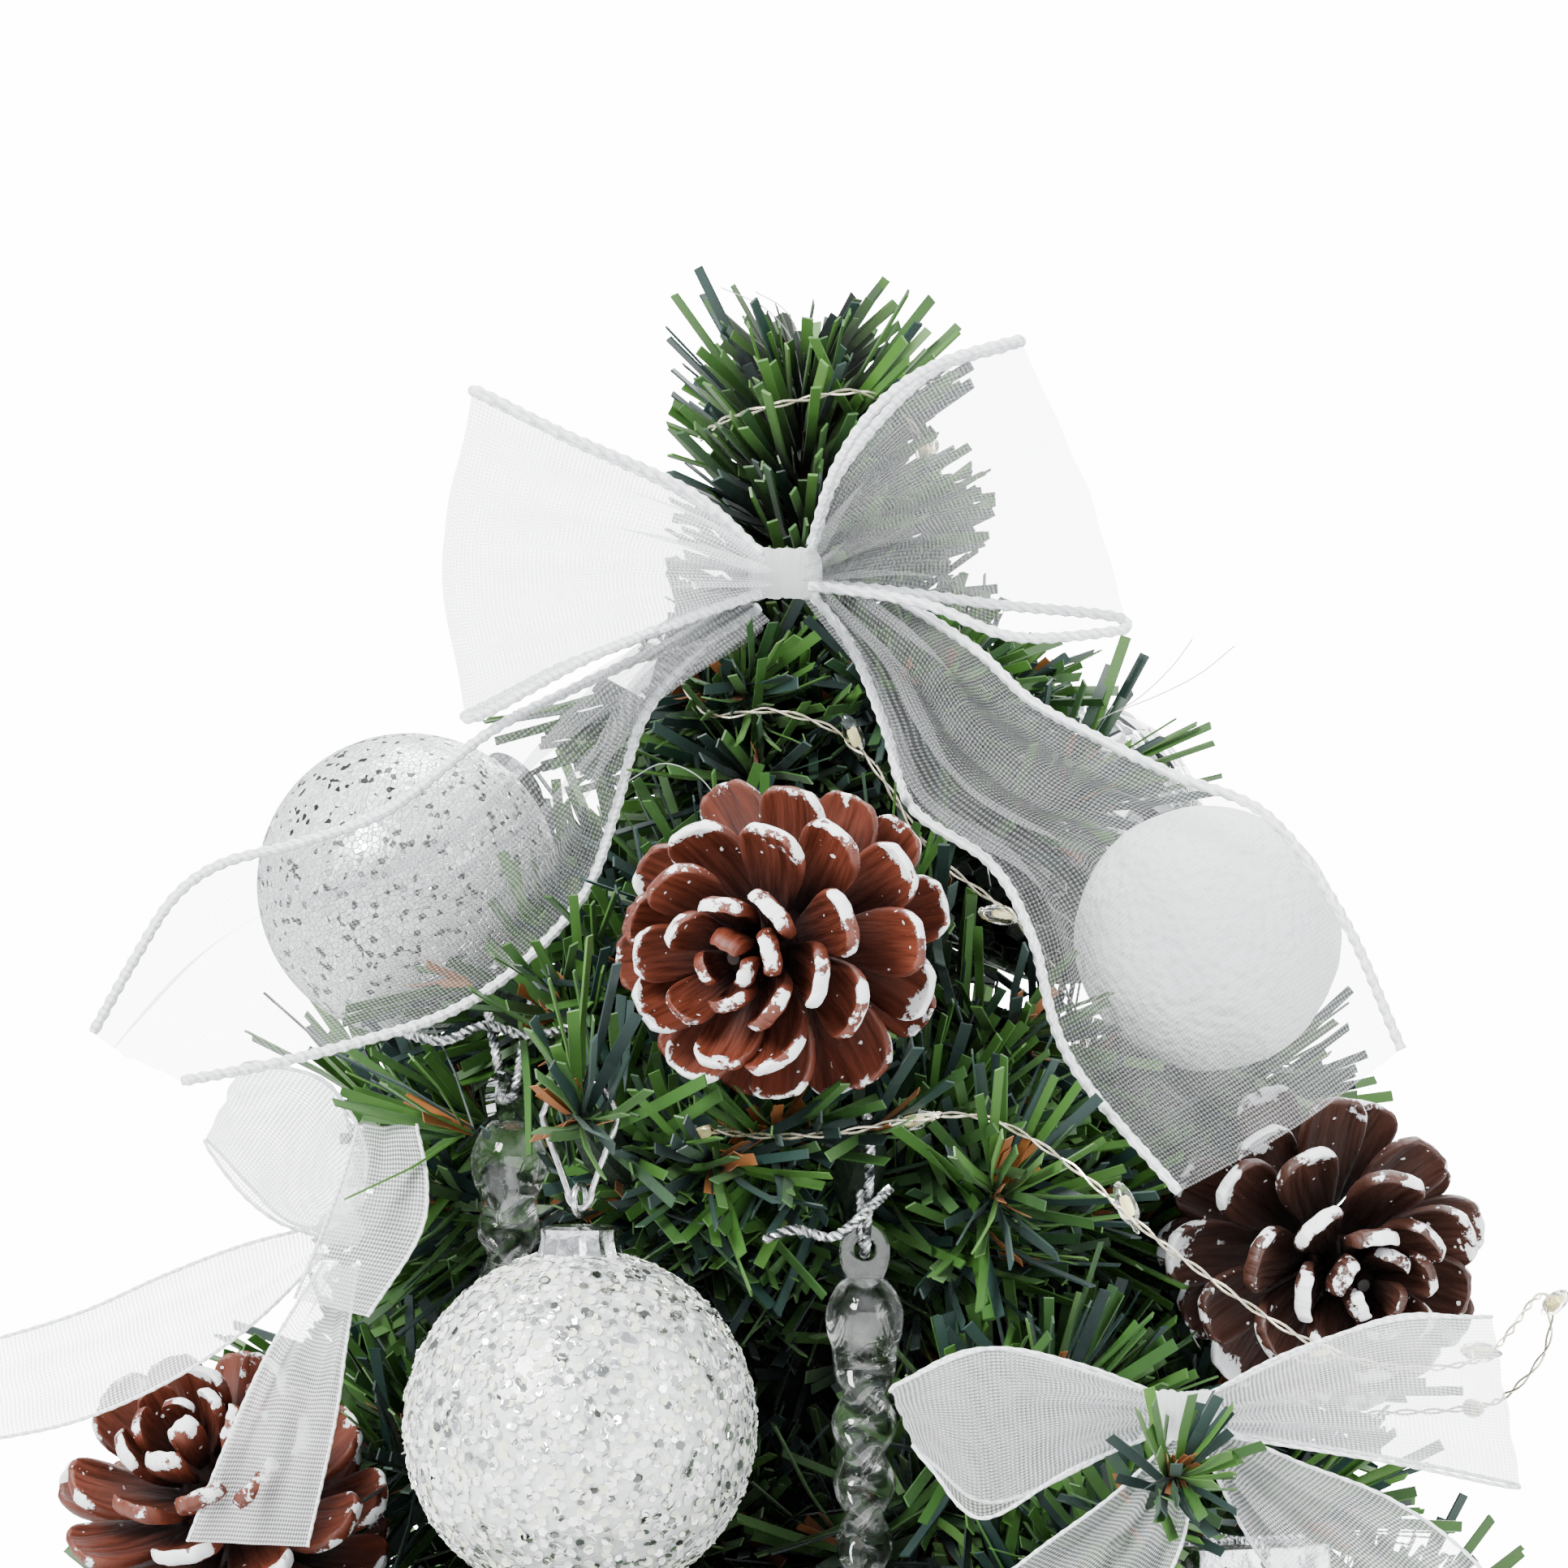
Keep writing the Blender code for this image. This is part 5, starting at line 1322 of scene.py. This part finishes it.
# Tiers: height of the root, and the azimuth, rise and length of each branch
TIERS = {
    "tier_3": (182.0, [(a, 16.0, 104.0) for a in (-100, -49, 3, 54, 106, 157, -152)]),
    "tier_4": (220.0, [(a, 20.0, 91.0) for a in (-75, -24, 28, 79, 130, -178, -127)]),
    "tier_5": (256.0, [(a, 24.0, 78.0) for a in (-55, 5, 65, 125, -175, -115)]),
    "tier_6": (290.0, [(-120, 28.0, 44.0)] + [(a, 28.0, 65.0) for a in (-60, 0, 60, 120, 180)]),
    "tier_7": (322.0, [(-113, 26.5, 73.0), (-82, 30.0, 61.0), (-40, 28.0, 44.0), (-155, 26.0, 50.0)]
               + [(a, 30.0, 60.0) for a in (15, 66, 118, 169)]),
    "tier_8": (352.0, [(-140, 18.0, 52.0), (-98, 34.0, 40.0), (-60, 36.0, 40.0), (80, 36.0, 44.0),
                       (130, 36.0, 44.0)]),
    "tier_9": (382.0, [(a, 40.0, 32.0) for a in (-107, -50, 0, 60, 115, 172)]),
}
BENDING = {
    "branch_1": (100.0, 8.0, 134.0, (-65, -5, 55, 115, 175, -125)),
    "branch_2": (140.0, 12.0, 119.0, (-35, 25, 85, 145, -155, -95)),
}
# Where no needle ends, behind the loops of the bows: low x, high x, low z, high z
BARE_ZONES = ((-70, -16, 399, 450), (23, 70, 408, 450), (-34, -19, 424, 450), (20, 40, 430, 450),
              (-8, 5, 447.5, 458),
              (-74, -53, 337, 359), (-82, -58, 327, 337))
# Shoots that reach forward between the trimmings: from, to, and how long the needles are
FRONT_SHOOTS = [
    ((-2, -6, 384), (-6, -22, 392), 1), ((8, -16, 322), (22, -50, 346), 1),
    ((6, -2, 376), (31, -10, 389), 1), ((-12, -8, 340), (-38, -20, 352), 1),
    ((-14, -8, 302), (-50, -24, 314), 1), ((26, -50, 300), (40, -86, 317), 0.55),
    ((-4, -6, 300), (-22, -44, 303), 1), ((4, -6, 296), (6, -48, 306), 1),
    ((10, -6, 322), (42, -12, 340), 1), ((-10, -4, 322), (-40, -8, 338), 1),
    ((-6, -2, 366), (-34, -2, 376), 1), ((10, -8, 300), (58, -18, 306), 1),
    ((6, -8, 352), (24, -30, 362), 1), ((4, -10, 340), (14, -36, 352), 1),
    ((-6, -10, 344), (-26, -34, 362), 1), ((14, -20, 290), (30, -62, 296), 1),
    ((-20, -20, 279), (-46, -52, 284), 1), ((3, -4, 392), (12, -16, 401), 0.9),
    ((-3, -4, 392), (-12, -14, 402), 0.9), ((20, -10, 350), (44, -14, 362), 1),
]


# Hair-thin strips of foil that stand out of the needles
STRAY_THREADS = (
    ((-9.6, -8, 448.6), (-4.6, -9, 446.2), (-1.4, -9, 442.4), (-0.2, -8, 437.0)),
    ((-5.6, -10, 448.0), (-2.4, -11, 446.0), (-0.6, -10, 443.0), (0.6, -8, 438.4)),
    ((13.6, -8, 402.0), (18.0, -14, 404.4), (21.4, -18, 407.6), (23.4, -20, 411.4)),
    ((34.0, -16, 398.0), (38.6, -18, 400.6), (42.4, -19, 404.2), (44.8, -19, 407.4)),
    ((36.0, -18, 399.0), (41.0, -19, 401.0), (45.6, -20, 403.4), (49.6, -20, 406.6)),
    ((-20.0, -36, 391.0), (-16.0, -40, 393.0), (-12.0, -42, 391.6), (-9.0, -42, 388.0)),
    ((52.0, -40, 300.0), (58.0, -44, 303.4), (63.6, -46, 304.2), (69.0, -47, 302.0)),
    ((-44.0, -60, 286.0), (-50.0, -64, 288.6), (-56.4, -66, 288.0), (-62.0, -66, 284.6)),
)


class Foliage:
    """Needles gathered for one piece, each with a tone."""

    def __init__(self, seed):
        self.rng = np.random.default_rng(seed)
        self.places, self.tones = [], []

    def brush(self, start, end, count, long=1.0, tone=0.5, tip=True, spread=(8, 62), lean=62):
        """Needles all round a wire from start to end, leaning forward, with a burst at the tip."""
        rng = self.rng
        start, end = np.asarray(start, float), np.asarray(end, float)
        along = unit(end - start)
        span = np.linalg.norm(end - start)
        burst = 26 if tip else 0
        total = count + burst
        share = np.concatenate([(np.arange(count) + rng.uniform(0, 1, count)) / count,
                                1 - rng.uniform(0, 2.5, burst) / span])
        side = unit(np.cross(along, (0.13, 0.31, 1.0)))
        other = np.cross(along, side)
        turn = GOLDEN * np.arange(total) + rng.normal(0, 0.35, total)
        out = side * np.cos(turn)[:, None] + other * np.sin(turn)[:, None]
        lean = np.radians(np.concatenate([rng.normal(lean, 10, count), rng.uniform(*spread, burst)]))
        close = np.clip((share - 0.86) / 0.14, 0, 1)
        lean = lean * (1 - 0.25 * close)
        z = unit(along * np.cos(lean)[:, None] + out * np.sin(lean)[:, None] + vec(0, 0, -0.05))
        roll = rng.uniform(0, math.tau, total)
        x = unit(np.cross(z, out) * np.cos(roll)[:, None] + out * np.sin(roll)[:, None])
        x = unit(x - z * np.sum(x * z, 1)[:, None])
        y = np.cross(z, x)
        flip = np.where(np.sum(y * along, 1) > 0, 1.0, -1.0)[:, None]
        x, y = x * flip, y * flip
        brown = rng.uniform(0, 1, total) < np.where(np.arange(total) < count, 0.035, 0.30)
        grow = long * rng.uniform(0.72, 1.18, total) * np.where(brown, 0.42, 1.0)
        wide = rng.uniform(0.85, 1.12, total)
        origin = start + along * (share * span)[:, None] + out * 0.5
        self.places.append(placing(origin, x * wide[:, None], y * grow[:, None], z * grow[:, None]))
        dark = rng.uniform(0, 1, total) < 0.36
        tones = np.where(dark, rng.normal(0.28, 0.10, total), rng.normal(0.66, 0.09, total))
        tones = np.clip(tones + tone - 0.5, 0.0, 0.84)
        self.tones.append(np.where(brown, 0.99, tones))

    def branch(self, start, end, dense, long=1.0, shoots=2):
        """A main brush with side shoots in a fan."""
        start, end = np.asarray(start, float), np.asarray(end, float)
        span = np.linalg.norm(end - start)
        along = unit(end - start)
        self.brush(start + along * min(7.0, span * 0.2), end, int(span * dense), long)
        flat = unit(np.cross(along, (0, 0, 1.0)))
        up = np.cross(flat, along)
        for n in range(shoots):
            for sign in (-1, 1):
                share = 0.38 + 0.44 * (n + 0.25 * (sign + 1)) / max(1, shoots)
                root = start + along * span * share
                grow = min(32.0, span * (0.44 - 0.16 * n / max(1, shoots - 1 or 1)))
                turn = math.radians(self.rng.uniform(34, 50))
                aim = along * math.cos(turn) + flat * sign * math.sin(turn)
                aim = aim + up * self.rng.uniform(-0.1, 0.32)
                self.brush(root, root + unit(aim) * grow, int(grow * dense * 0.9), long * 0.92, 0.46)

    def piece(self, name, body, blocked):
        places = np.vstack(self.places)
        tones = np.concatenate(self.tones)
        roots = places[:, :3, 3]
        reach = places[:, :3, 2] * NEEDLE_LENGTH + places[:, :3, 1] * NEEDLE_BEND
        keep = np.ones(len(places), bool)
        for centre, radius in ROOM:
            share = np.clip(np.sum((centre - roots) * reach, 1) / np.sum(reach * reach, 1), 0, 1)
            keep &= np.linalg.norm(roots + reach * share[:, None] - centre, axis=1) > radius
        ends = roots + reach
        for low, high, foot, top in BARE_ZONES:
            keep &= ~((low < ends[:, 0]) & (ends[:, 0] < high) & (foot < ends[:, 2]) & (ends[:, 2] < top))
        for i in np.flatnonzero(keep):
            needle = Vector(reach[i])
            keep[i] = not blocked.ray_cast(Vector(roots[i]), needle.normalized(), needle.length + 0.4)[0]
        places, tones = places[keep], tones[keep]
        verts, faces = repeat_shape(*NEEDLE, places)
        piece = mesh_piece(name, verts, faces, FINISH["needle"], body, None, 0)
        point_values(piece.data, "tone", np.repeat(tones, len(NEEDLE[0])))
        return piece


def limb_ends(height, azimuth, rise, length, start=7.0):
    lift = math.radians(rise)
    along = around(azimuth, math.cos(lift), math.sin(lift))
    root = vec(0, 0, height)
    return root + along * start, root + along * length


def make_foliage():
    verts, faces = join_meshes(OBSTACLES)
    blocked = BVHTree.FromPolygons([Vector(v) for v in verts], faces)
    for seed, (name, (height, branches)) in enumerate(TIERS.items()):
        foliage = Foliage(100 + seed)
        for branch in branches:
            start, end = limb_ends(height, *branch)
            foliage.branch(start, end, 4.6, 0.72 if name == "tier_9" else 1.0, 1 if branch[2] < 50 else 2)
        foliage.piece(f"{name}_needles", "tree", blocked)
    for seed, (name, (height, rise, length, azimuths)) in enumerate(BENDING.items()):
        for azimuth, letter in zip(azimuths, "abcdef"):
            foliage = Foliage(200 + seed * 10 + ord(letter))
            start, end = limb_ends(height, azimuth, rise, length - (5.5 if name == "branch_1" else 1.5), 14.0)
            foliage.branch(start, end, 4.2, 1.0, 3)
            foliage.piece(f"{name}{letter}_needles", f"{name}{letter}", blocked)
    foliage = Foliage(300)
    foliage.brush((0, 0, 390), (0, 0, 431), 860, 1.20, 0.56, spread=(46, 80), lean=70)
    foliage.brush((7.0, -4, 428), (8.5, -4.5, 431), 1, 1.35, 0.5, tip=False)
    foliage.brush((0, -1, 424), (0, -1, 439), 110, 0.72, 0.56, spread=(30, 70), lean=56)
    for start, end, long in FRONT_SHOOTS:
        foliage.brush(start, end, int(math.dist(start, end) * 4.6), 0.95 * long, 0.5)
    foliage.piece("leader_and_shoot_needles", "tree", blocked)
    wires = [tube_mesh(even([start, end], 8), np.linspace(1.3, 0.9, 8), 7) for start, end, _ in FRONT_SHOOTS]
    verts, faces = join_meshes(wires)
    mesh_piece("shoot_wires", verts, faces, FINISH["core"], "tree", None, 60)
    hairs = [tube_mesh(even(smooth(hair, 8), 30), 0.07, 5) for hair in STRAY_THREADS]
    verts, faces = join_meshes(hairs)
    mesh_piece("fine_stray_threads", verts, faces, FINISH["thread"], "tree", None, 60)


# ---- lights ------------------------------------------------------------------------------------

STRING_ROUTE = (
    (90, 10, 34), (90, 10, 60), (88, 9.5, 84), (85, 9.5, 102), (70, 9.5, 122), (55, 9.5, 142),
    (42, 9.5, 162), (30, 11, 182), (24, 26, 199), (5, 52, 205), (-24, 64, 209), (-49, 64, 209),
    (-75, 58, 207), (-100, 62, 208), (-126, 66, 210), (-152, 66, 210), (-178, 66, 210),
    (157, 66, 210), (132, 66, 210), (106, 66, 210), (80, 64, 214), (54, 62, 232), (28, 60, 250),
    (2, 58, 250), (-24, 58, 250), (-50, 58, 249), (-75, 58, 250), (-101, 58, 249), (-127, 58, 250),
    (-152, 58, 249), (-178, 58, 250), (156, 58, 249), (130, 58, 250), (104, 57, 250),
    (79, 55, 251), (57, 52, 258), (35, 50, 272), (5, 49, 287), (-25, 49, 286), (-55, 49, 287),
    (-85, 39, 285), (-115, 44, 284), (-139, 37, 281), (-158, 42, 283), (-175, 47, 286),
    (155, 48, 286), (125, 48, 287), (95, 47, 286), (65, 46, 286), (45, 45, 292), (30, 46, 304),
    (16, 60, 314), (2, 78, 317), (-6, 83, 320), (-9, 87, 325), (-12, 88, 330), (-18, 88, 332),
    (-32, 88, 326), (-46, 84, 328), (-56, 73, 339), (-62, 61, 349), (-72, 58, 354),
    (-88, 59, 352), (-100, 53, 352), (-113, 43, 354), (-125, 38, 354), (-141, 34, 353), (-165, 32, 351),
    (169, 32, 352), (143, 31, 350), (118, 31, 351), (92, 30, 349), (66, 30, 350), (40, 29, 348),
    (15, 30, 351), (-8, 33, 359), (-28, 34, 367), (-46, 35, 375), (-62, 31, 383), (-78, 29, 395),
    (-96, 29, 399), (-115, 27, 399), (-140, 22, 408), (172, 19, 406), (130, 17, 410),
    (90, 15, 415), (50, 14, 420), (10, 14, 426), (-30, 15, 432), (-63, 16, 436), (-93, 16.5, 435),
    (-123, 16.5, 433), (-150, 14, 431),
)


LAMP_PITCH = 27.0


def make_string():
    """Two thin lacquered wires wound together, with a clear drop over each lamp."""
    route = smooth([around(*place) for place in STRING_ROUTE], 8)
    verts, faces = twisted_pair(route, 0.15, 7.5, strands=2, sides=5, step=0.8, apart=0.27)
    mesh_piece("twisted_light_wires", verts, faces, FINISH["wire"], "tree", "light_string", 0)
    line = even(route, 2600)
    for i in range(0, 2590, 8):
        if line[i, 1] < -18 and (338 < line[i, 2] < 352 or line[i, 2] > 394):
            clear_in_front(line[i:i + 9:8], 26.0)
    _, side, up = carried_frames(line)
    run = line_length(line)
    places, pitch = [], LAMP_PITCH
    # One lamp lies in the middle of the loop at the top, and the others follow from it.
    first = int(np.argmin(np.linalg.norm(line - vec(-5, -18, 434), axis=1))) / 2599 * run % pitch
    for n in range(4, int((run - first) / pitch)):
        at = int((first + n * pitch) / run * 2599)
        along = unit(line[min(at + 6, 2599)] - line[max(at - 6, 0)])
        turn = 2.4 * n
        lean = side[at] * math.cos(turn) + up[at] * math.sin(turn)
        z = unit(along * 0.86 + lean * 0.5)
        x = unit(np.cross(z, lean))
        places.append((line[at], x, np.cross(z, x), z))
    origin, x, y, z = (np.array(column) for column in zip(*places))
    for name, shape, finish in (("lamp_drops", LAMP_DROP, "lamp"), ("lamp_chips", LAMP_CHIP, "chip")):
        verts, faces = repeat_shape(*shape, placing(origin, x, y, z))
        mesh_piece(name, verts, faces, FINISH[finish], "tree", None, 50)


def model_lamp_drop():
    """A clear resin drop, 6.3 mm long with its wire end at the origin, fuller towards the far end."""
    deselect()
    bpy.ops.mesh.primitive_uv_sphere_add(segments=14, ring_count=10, radius=1.15 * MM)
    drop = bpy.context.object
    edit(drop)
    bpy.ops.mesh.select_all(action="SELECT")
    bpy.ops.transform.resize(value=(1, 1, 2.75))
    bpy.ops.transform.translate(value=(0, 0, 1.2 * MM))
    pick(drop, lambda at: at.z < 0.2 * MM, "VERT")
    bpy.ops.transform.resize(value=(0.62, 0.62, 1), center_override=(0, 0, 0))
    bpy.ops.object.mode_set(mode="OBJECT")
    return take_mesh(drop)


def model_lamp_chip():
    """The lamp's small chip and its two solder points, inside the drop."""
    deselect()
    bpy.ops.mesh.primitive_cube_add(size=1.0)
    chip = bpy.context.object
    edit(chip)
    bpy.ops.mesh.select_all(action="SELECT")
    bpy.ops.transform.resize(value=(0.8 * MM, 0.5 * MM, 1.5 * MM))
    bpy.ops.transform.translate(value=(0, 0, 1.4 * MM))
    pick(chip, lambda at, normal: abs(normal.z) > 0.9)
    bpy.ops.mesh.inset(thickness=0.12 * MM, use_individual=True)
    bpy.ops.transform.resize(value=(1, 1, 1.5))
    bpy.ops.object.mode_set(mode="OBJECT")
    return take_mesh(chip)


LAMP_DROP = model_lamp_drop()
LAMP_CHIP = model_lamp_chip()


# ---- setting -----------------------------------------------------------------------------------


WHITE_SEEN = 15.0  # the room's strength where it is seen directly, which shows as plain white
SEEN_THROUGH = 0.55  # how much of that is seen through clear plastic
ROOM_LIGHT = 1.0
LIGHT_AIM = Vector((0, 0, 0.32))
# Name, place, side of the square and power
LIGHTS = (("key", (-0.9, -1.2, 1.3), 0.6, 84.0), ("fill", (1.2, -0.9, 0.7), 1.0, 24.0),
          ("top", (0.1, 0.3, 1.6), 0.9, 38.0), ("back", (0.5, 1.3, 0.8), 0.9, 34.0))
CAMERA_PLACE, CAMERA_LENS = (-0.0023, -0.95, 0.3907), 185.4


def make_floor():
    deselect()
    bpy.ops.mesh.primitive_circle_add(vertices=160, radius=3.0, fill_type="NGON", location=(0, 0, -0.0005))
    floor = bpy.context.object
    floor.name = "floor"
    f = Finish("pale_floor")
    f.set(Base_Color=f.mix(f.noise(3.0), (0.80, 0.80, 0.80), (0.83, 0.83, 0.83)), Roughness=0.9)
    floor.data.materials.append(f.material)


def make_room():
    """A pale room that lights softly, and is plain white where it is seen."""
    world = bpy.data.worlds.new("pale_room")
    bpy.context.scene.world = world
    world.use_nodes = True
    nodes, link = world.node_tree.nodes, world.node_tree.links.new
    back = nodes["Background"]
    back.inputs["Color"].default_value = (0.82, 0.86, 0.92, 1)
    back.inputs["Strength"].default_value = ROOM_LIGHT
    seen = nodes.new("ShaderNodeBackground")
    seen.inputs["Color"].default_value = (1, 1, 1, 1)
    seen.inputs["Strength"].default_value = WHITE_SEEN
    path = nodes.new("ShaderNodeLightPath")
    part = nodes.new("ShaderNodeMath")
    part.operation = "MULTIPLY"
    part.inputs[1].default_value = SEEN_THROUGH
    either = nodes.new("ShaderNodeMath")
    either.operation = "MAXIMUM"
    blend = nodes.new("ShaderNodeMixShader")
    link(path.outputs["Is Transmission Ray"], part.inputs[0])
    link(path.outputs["Is Camera Ray"], either.inputs[0])
    link(part.outputs[0], either.inputs[1])
    link(either.outputs[0], blend.inputs[0])
    link(back.outputs[0], blend.inputs[1])
    link(seen.outputs[0], blend.inputs[2])
    link(blend.outputs[0], nodes["World Output"].inputs["Surface"])


def make_lights():
    for name, place, size, power in LIGHTS:
        data = bpy.data.lights.new(name, "AREA")
        data.size, data.energy = size, power
        light = bpy.data.objects.new(name, data)
        light.location = place
        light.rotation_euler = (LIGHT_AIM - Vector(place)).to_track_quat("-Z", "Y").to_euler()
        bpy.context.scene.collection.objects.link(light)


def make_camera():
    data = bpy.data.cameras.new("camera")
    data.lens, data.sensor_width = CAMERA_LENS, 36.0
    data.clip_start, data.clip_end = 0.05, 20.0
    camera = bpy.data.objects.new("camera", data)
    camera.location = CAMERA_PLACE
    camera.rotation_euler = (math.radians(90), 0, 0)
    bpy.context.scene.collection.objects.link(camera)
    bpy.context.scene.camera = camera


def main():
    make_floor()
    make_room()
    make_lights()
    make_camera()
    make_balls()
    make_snowball()
    make_cones()
    make_icicles()
    make_gift_box()
    make_big_bow()
    make_small_bows()
    make_string()
    make_foliage()


main()
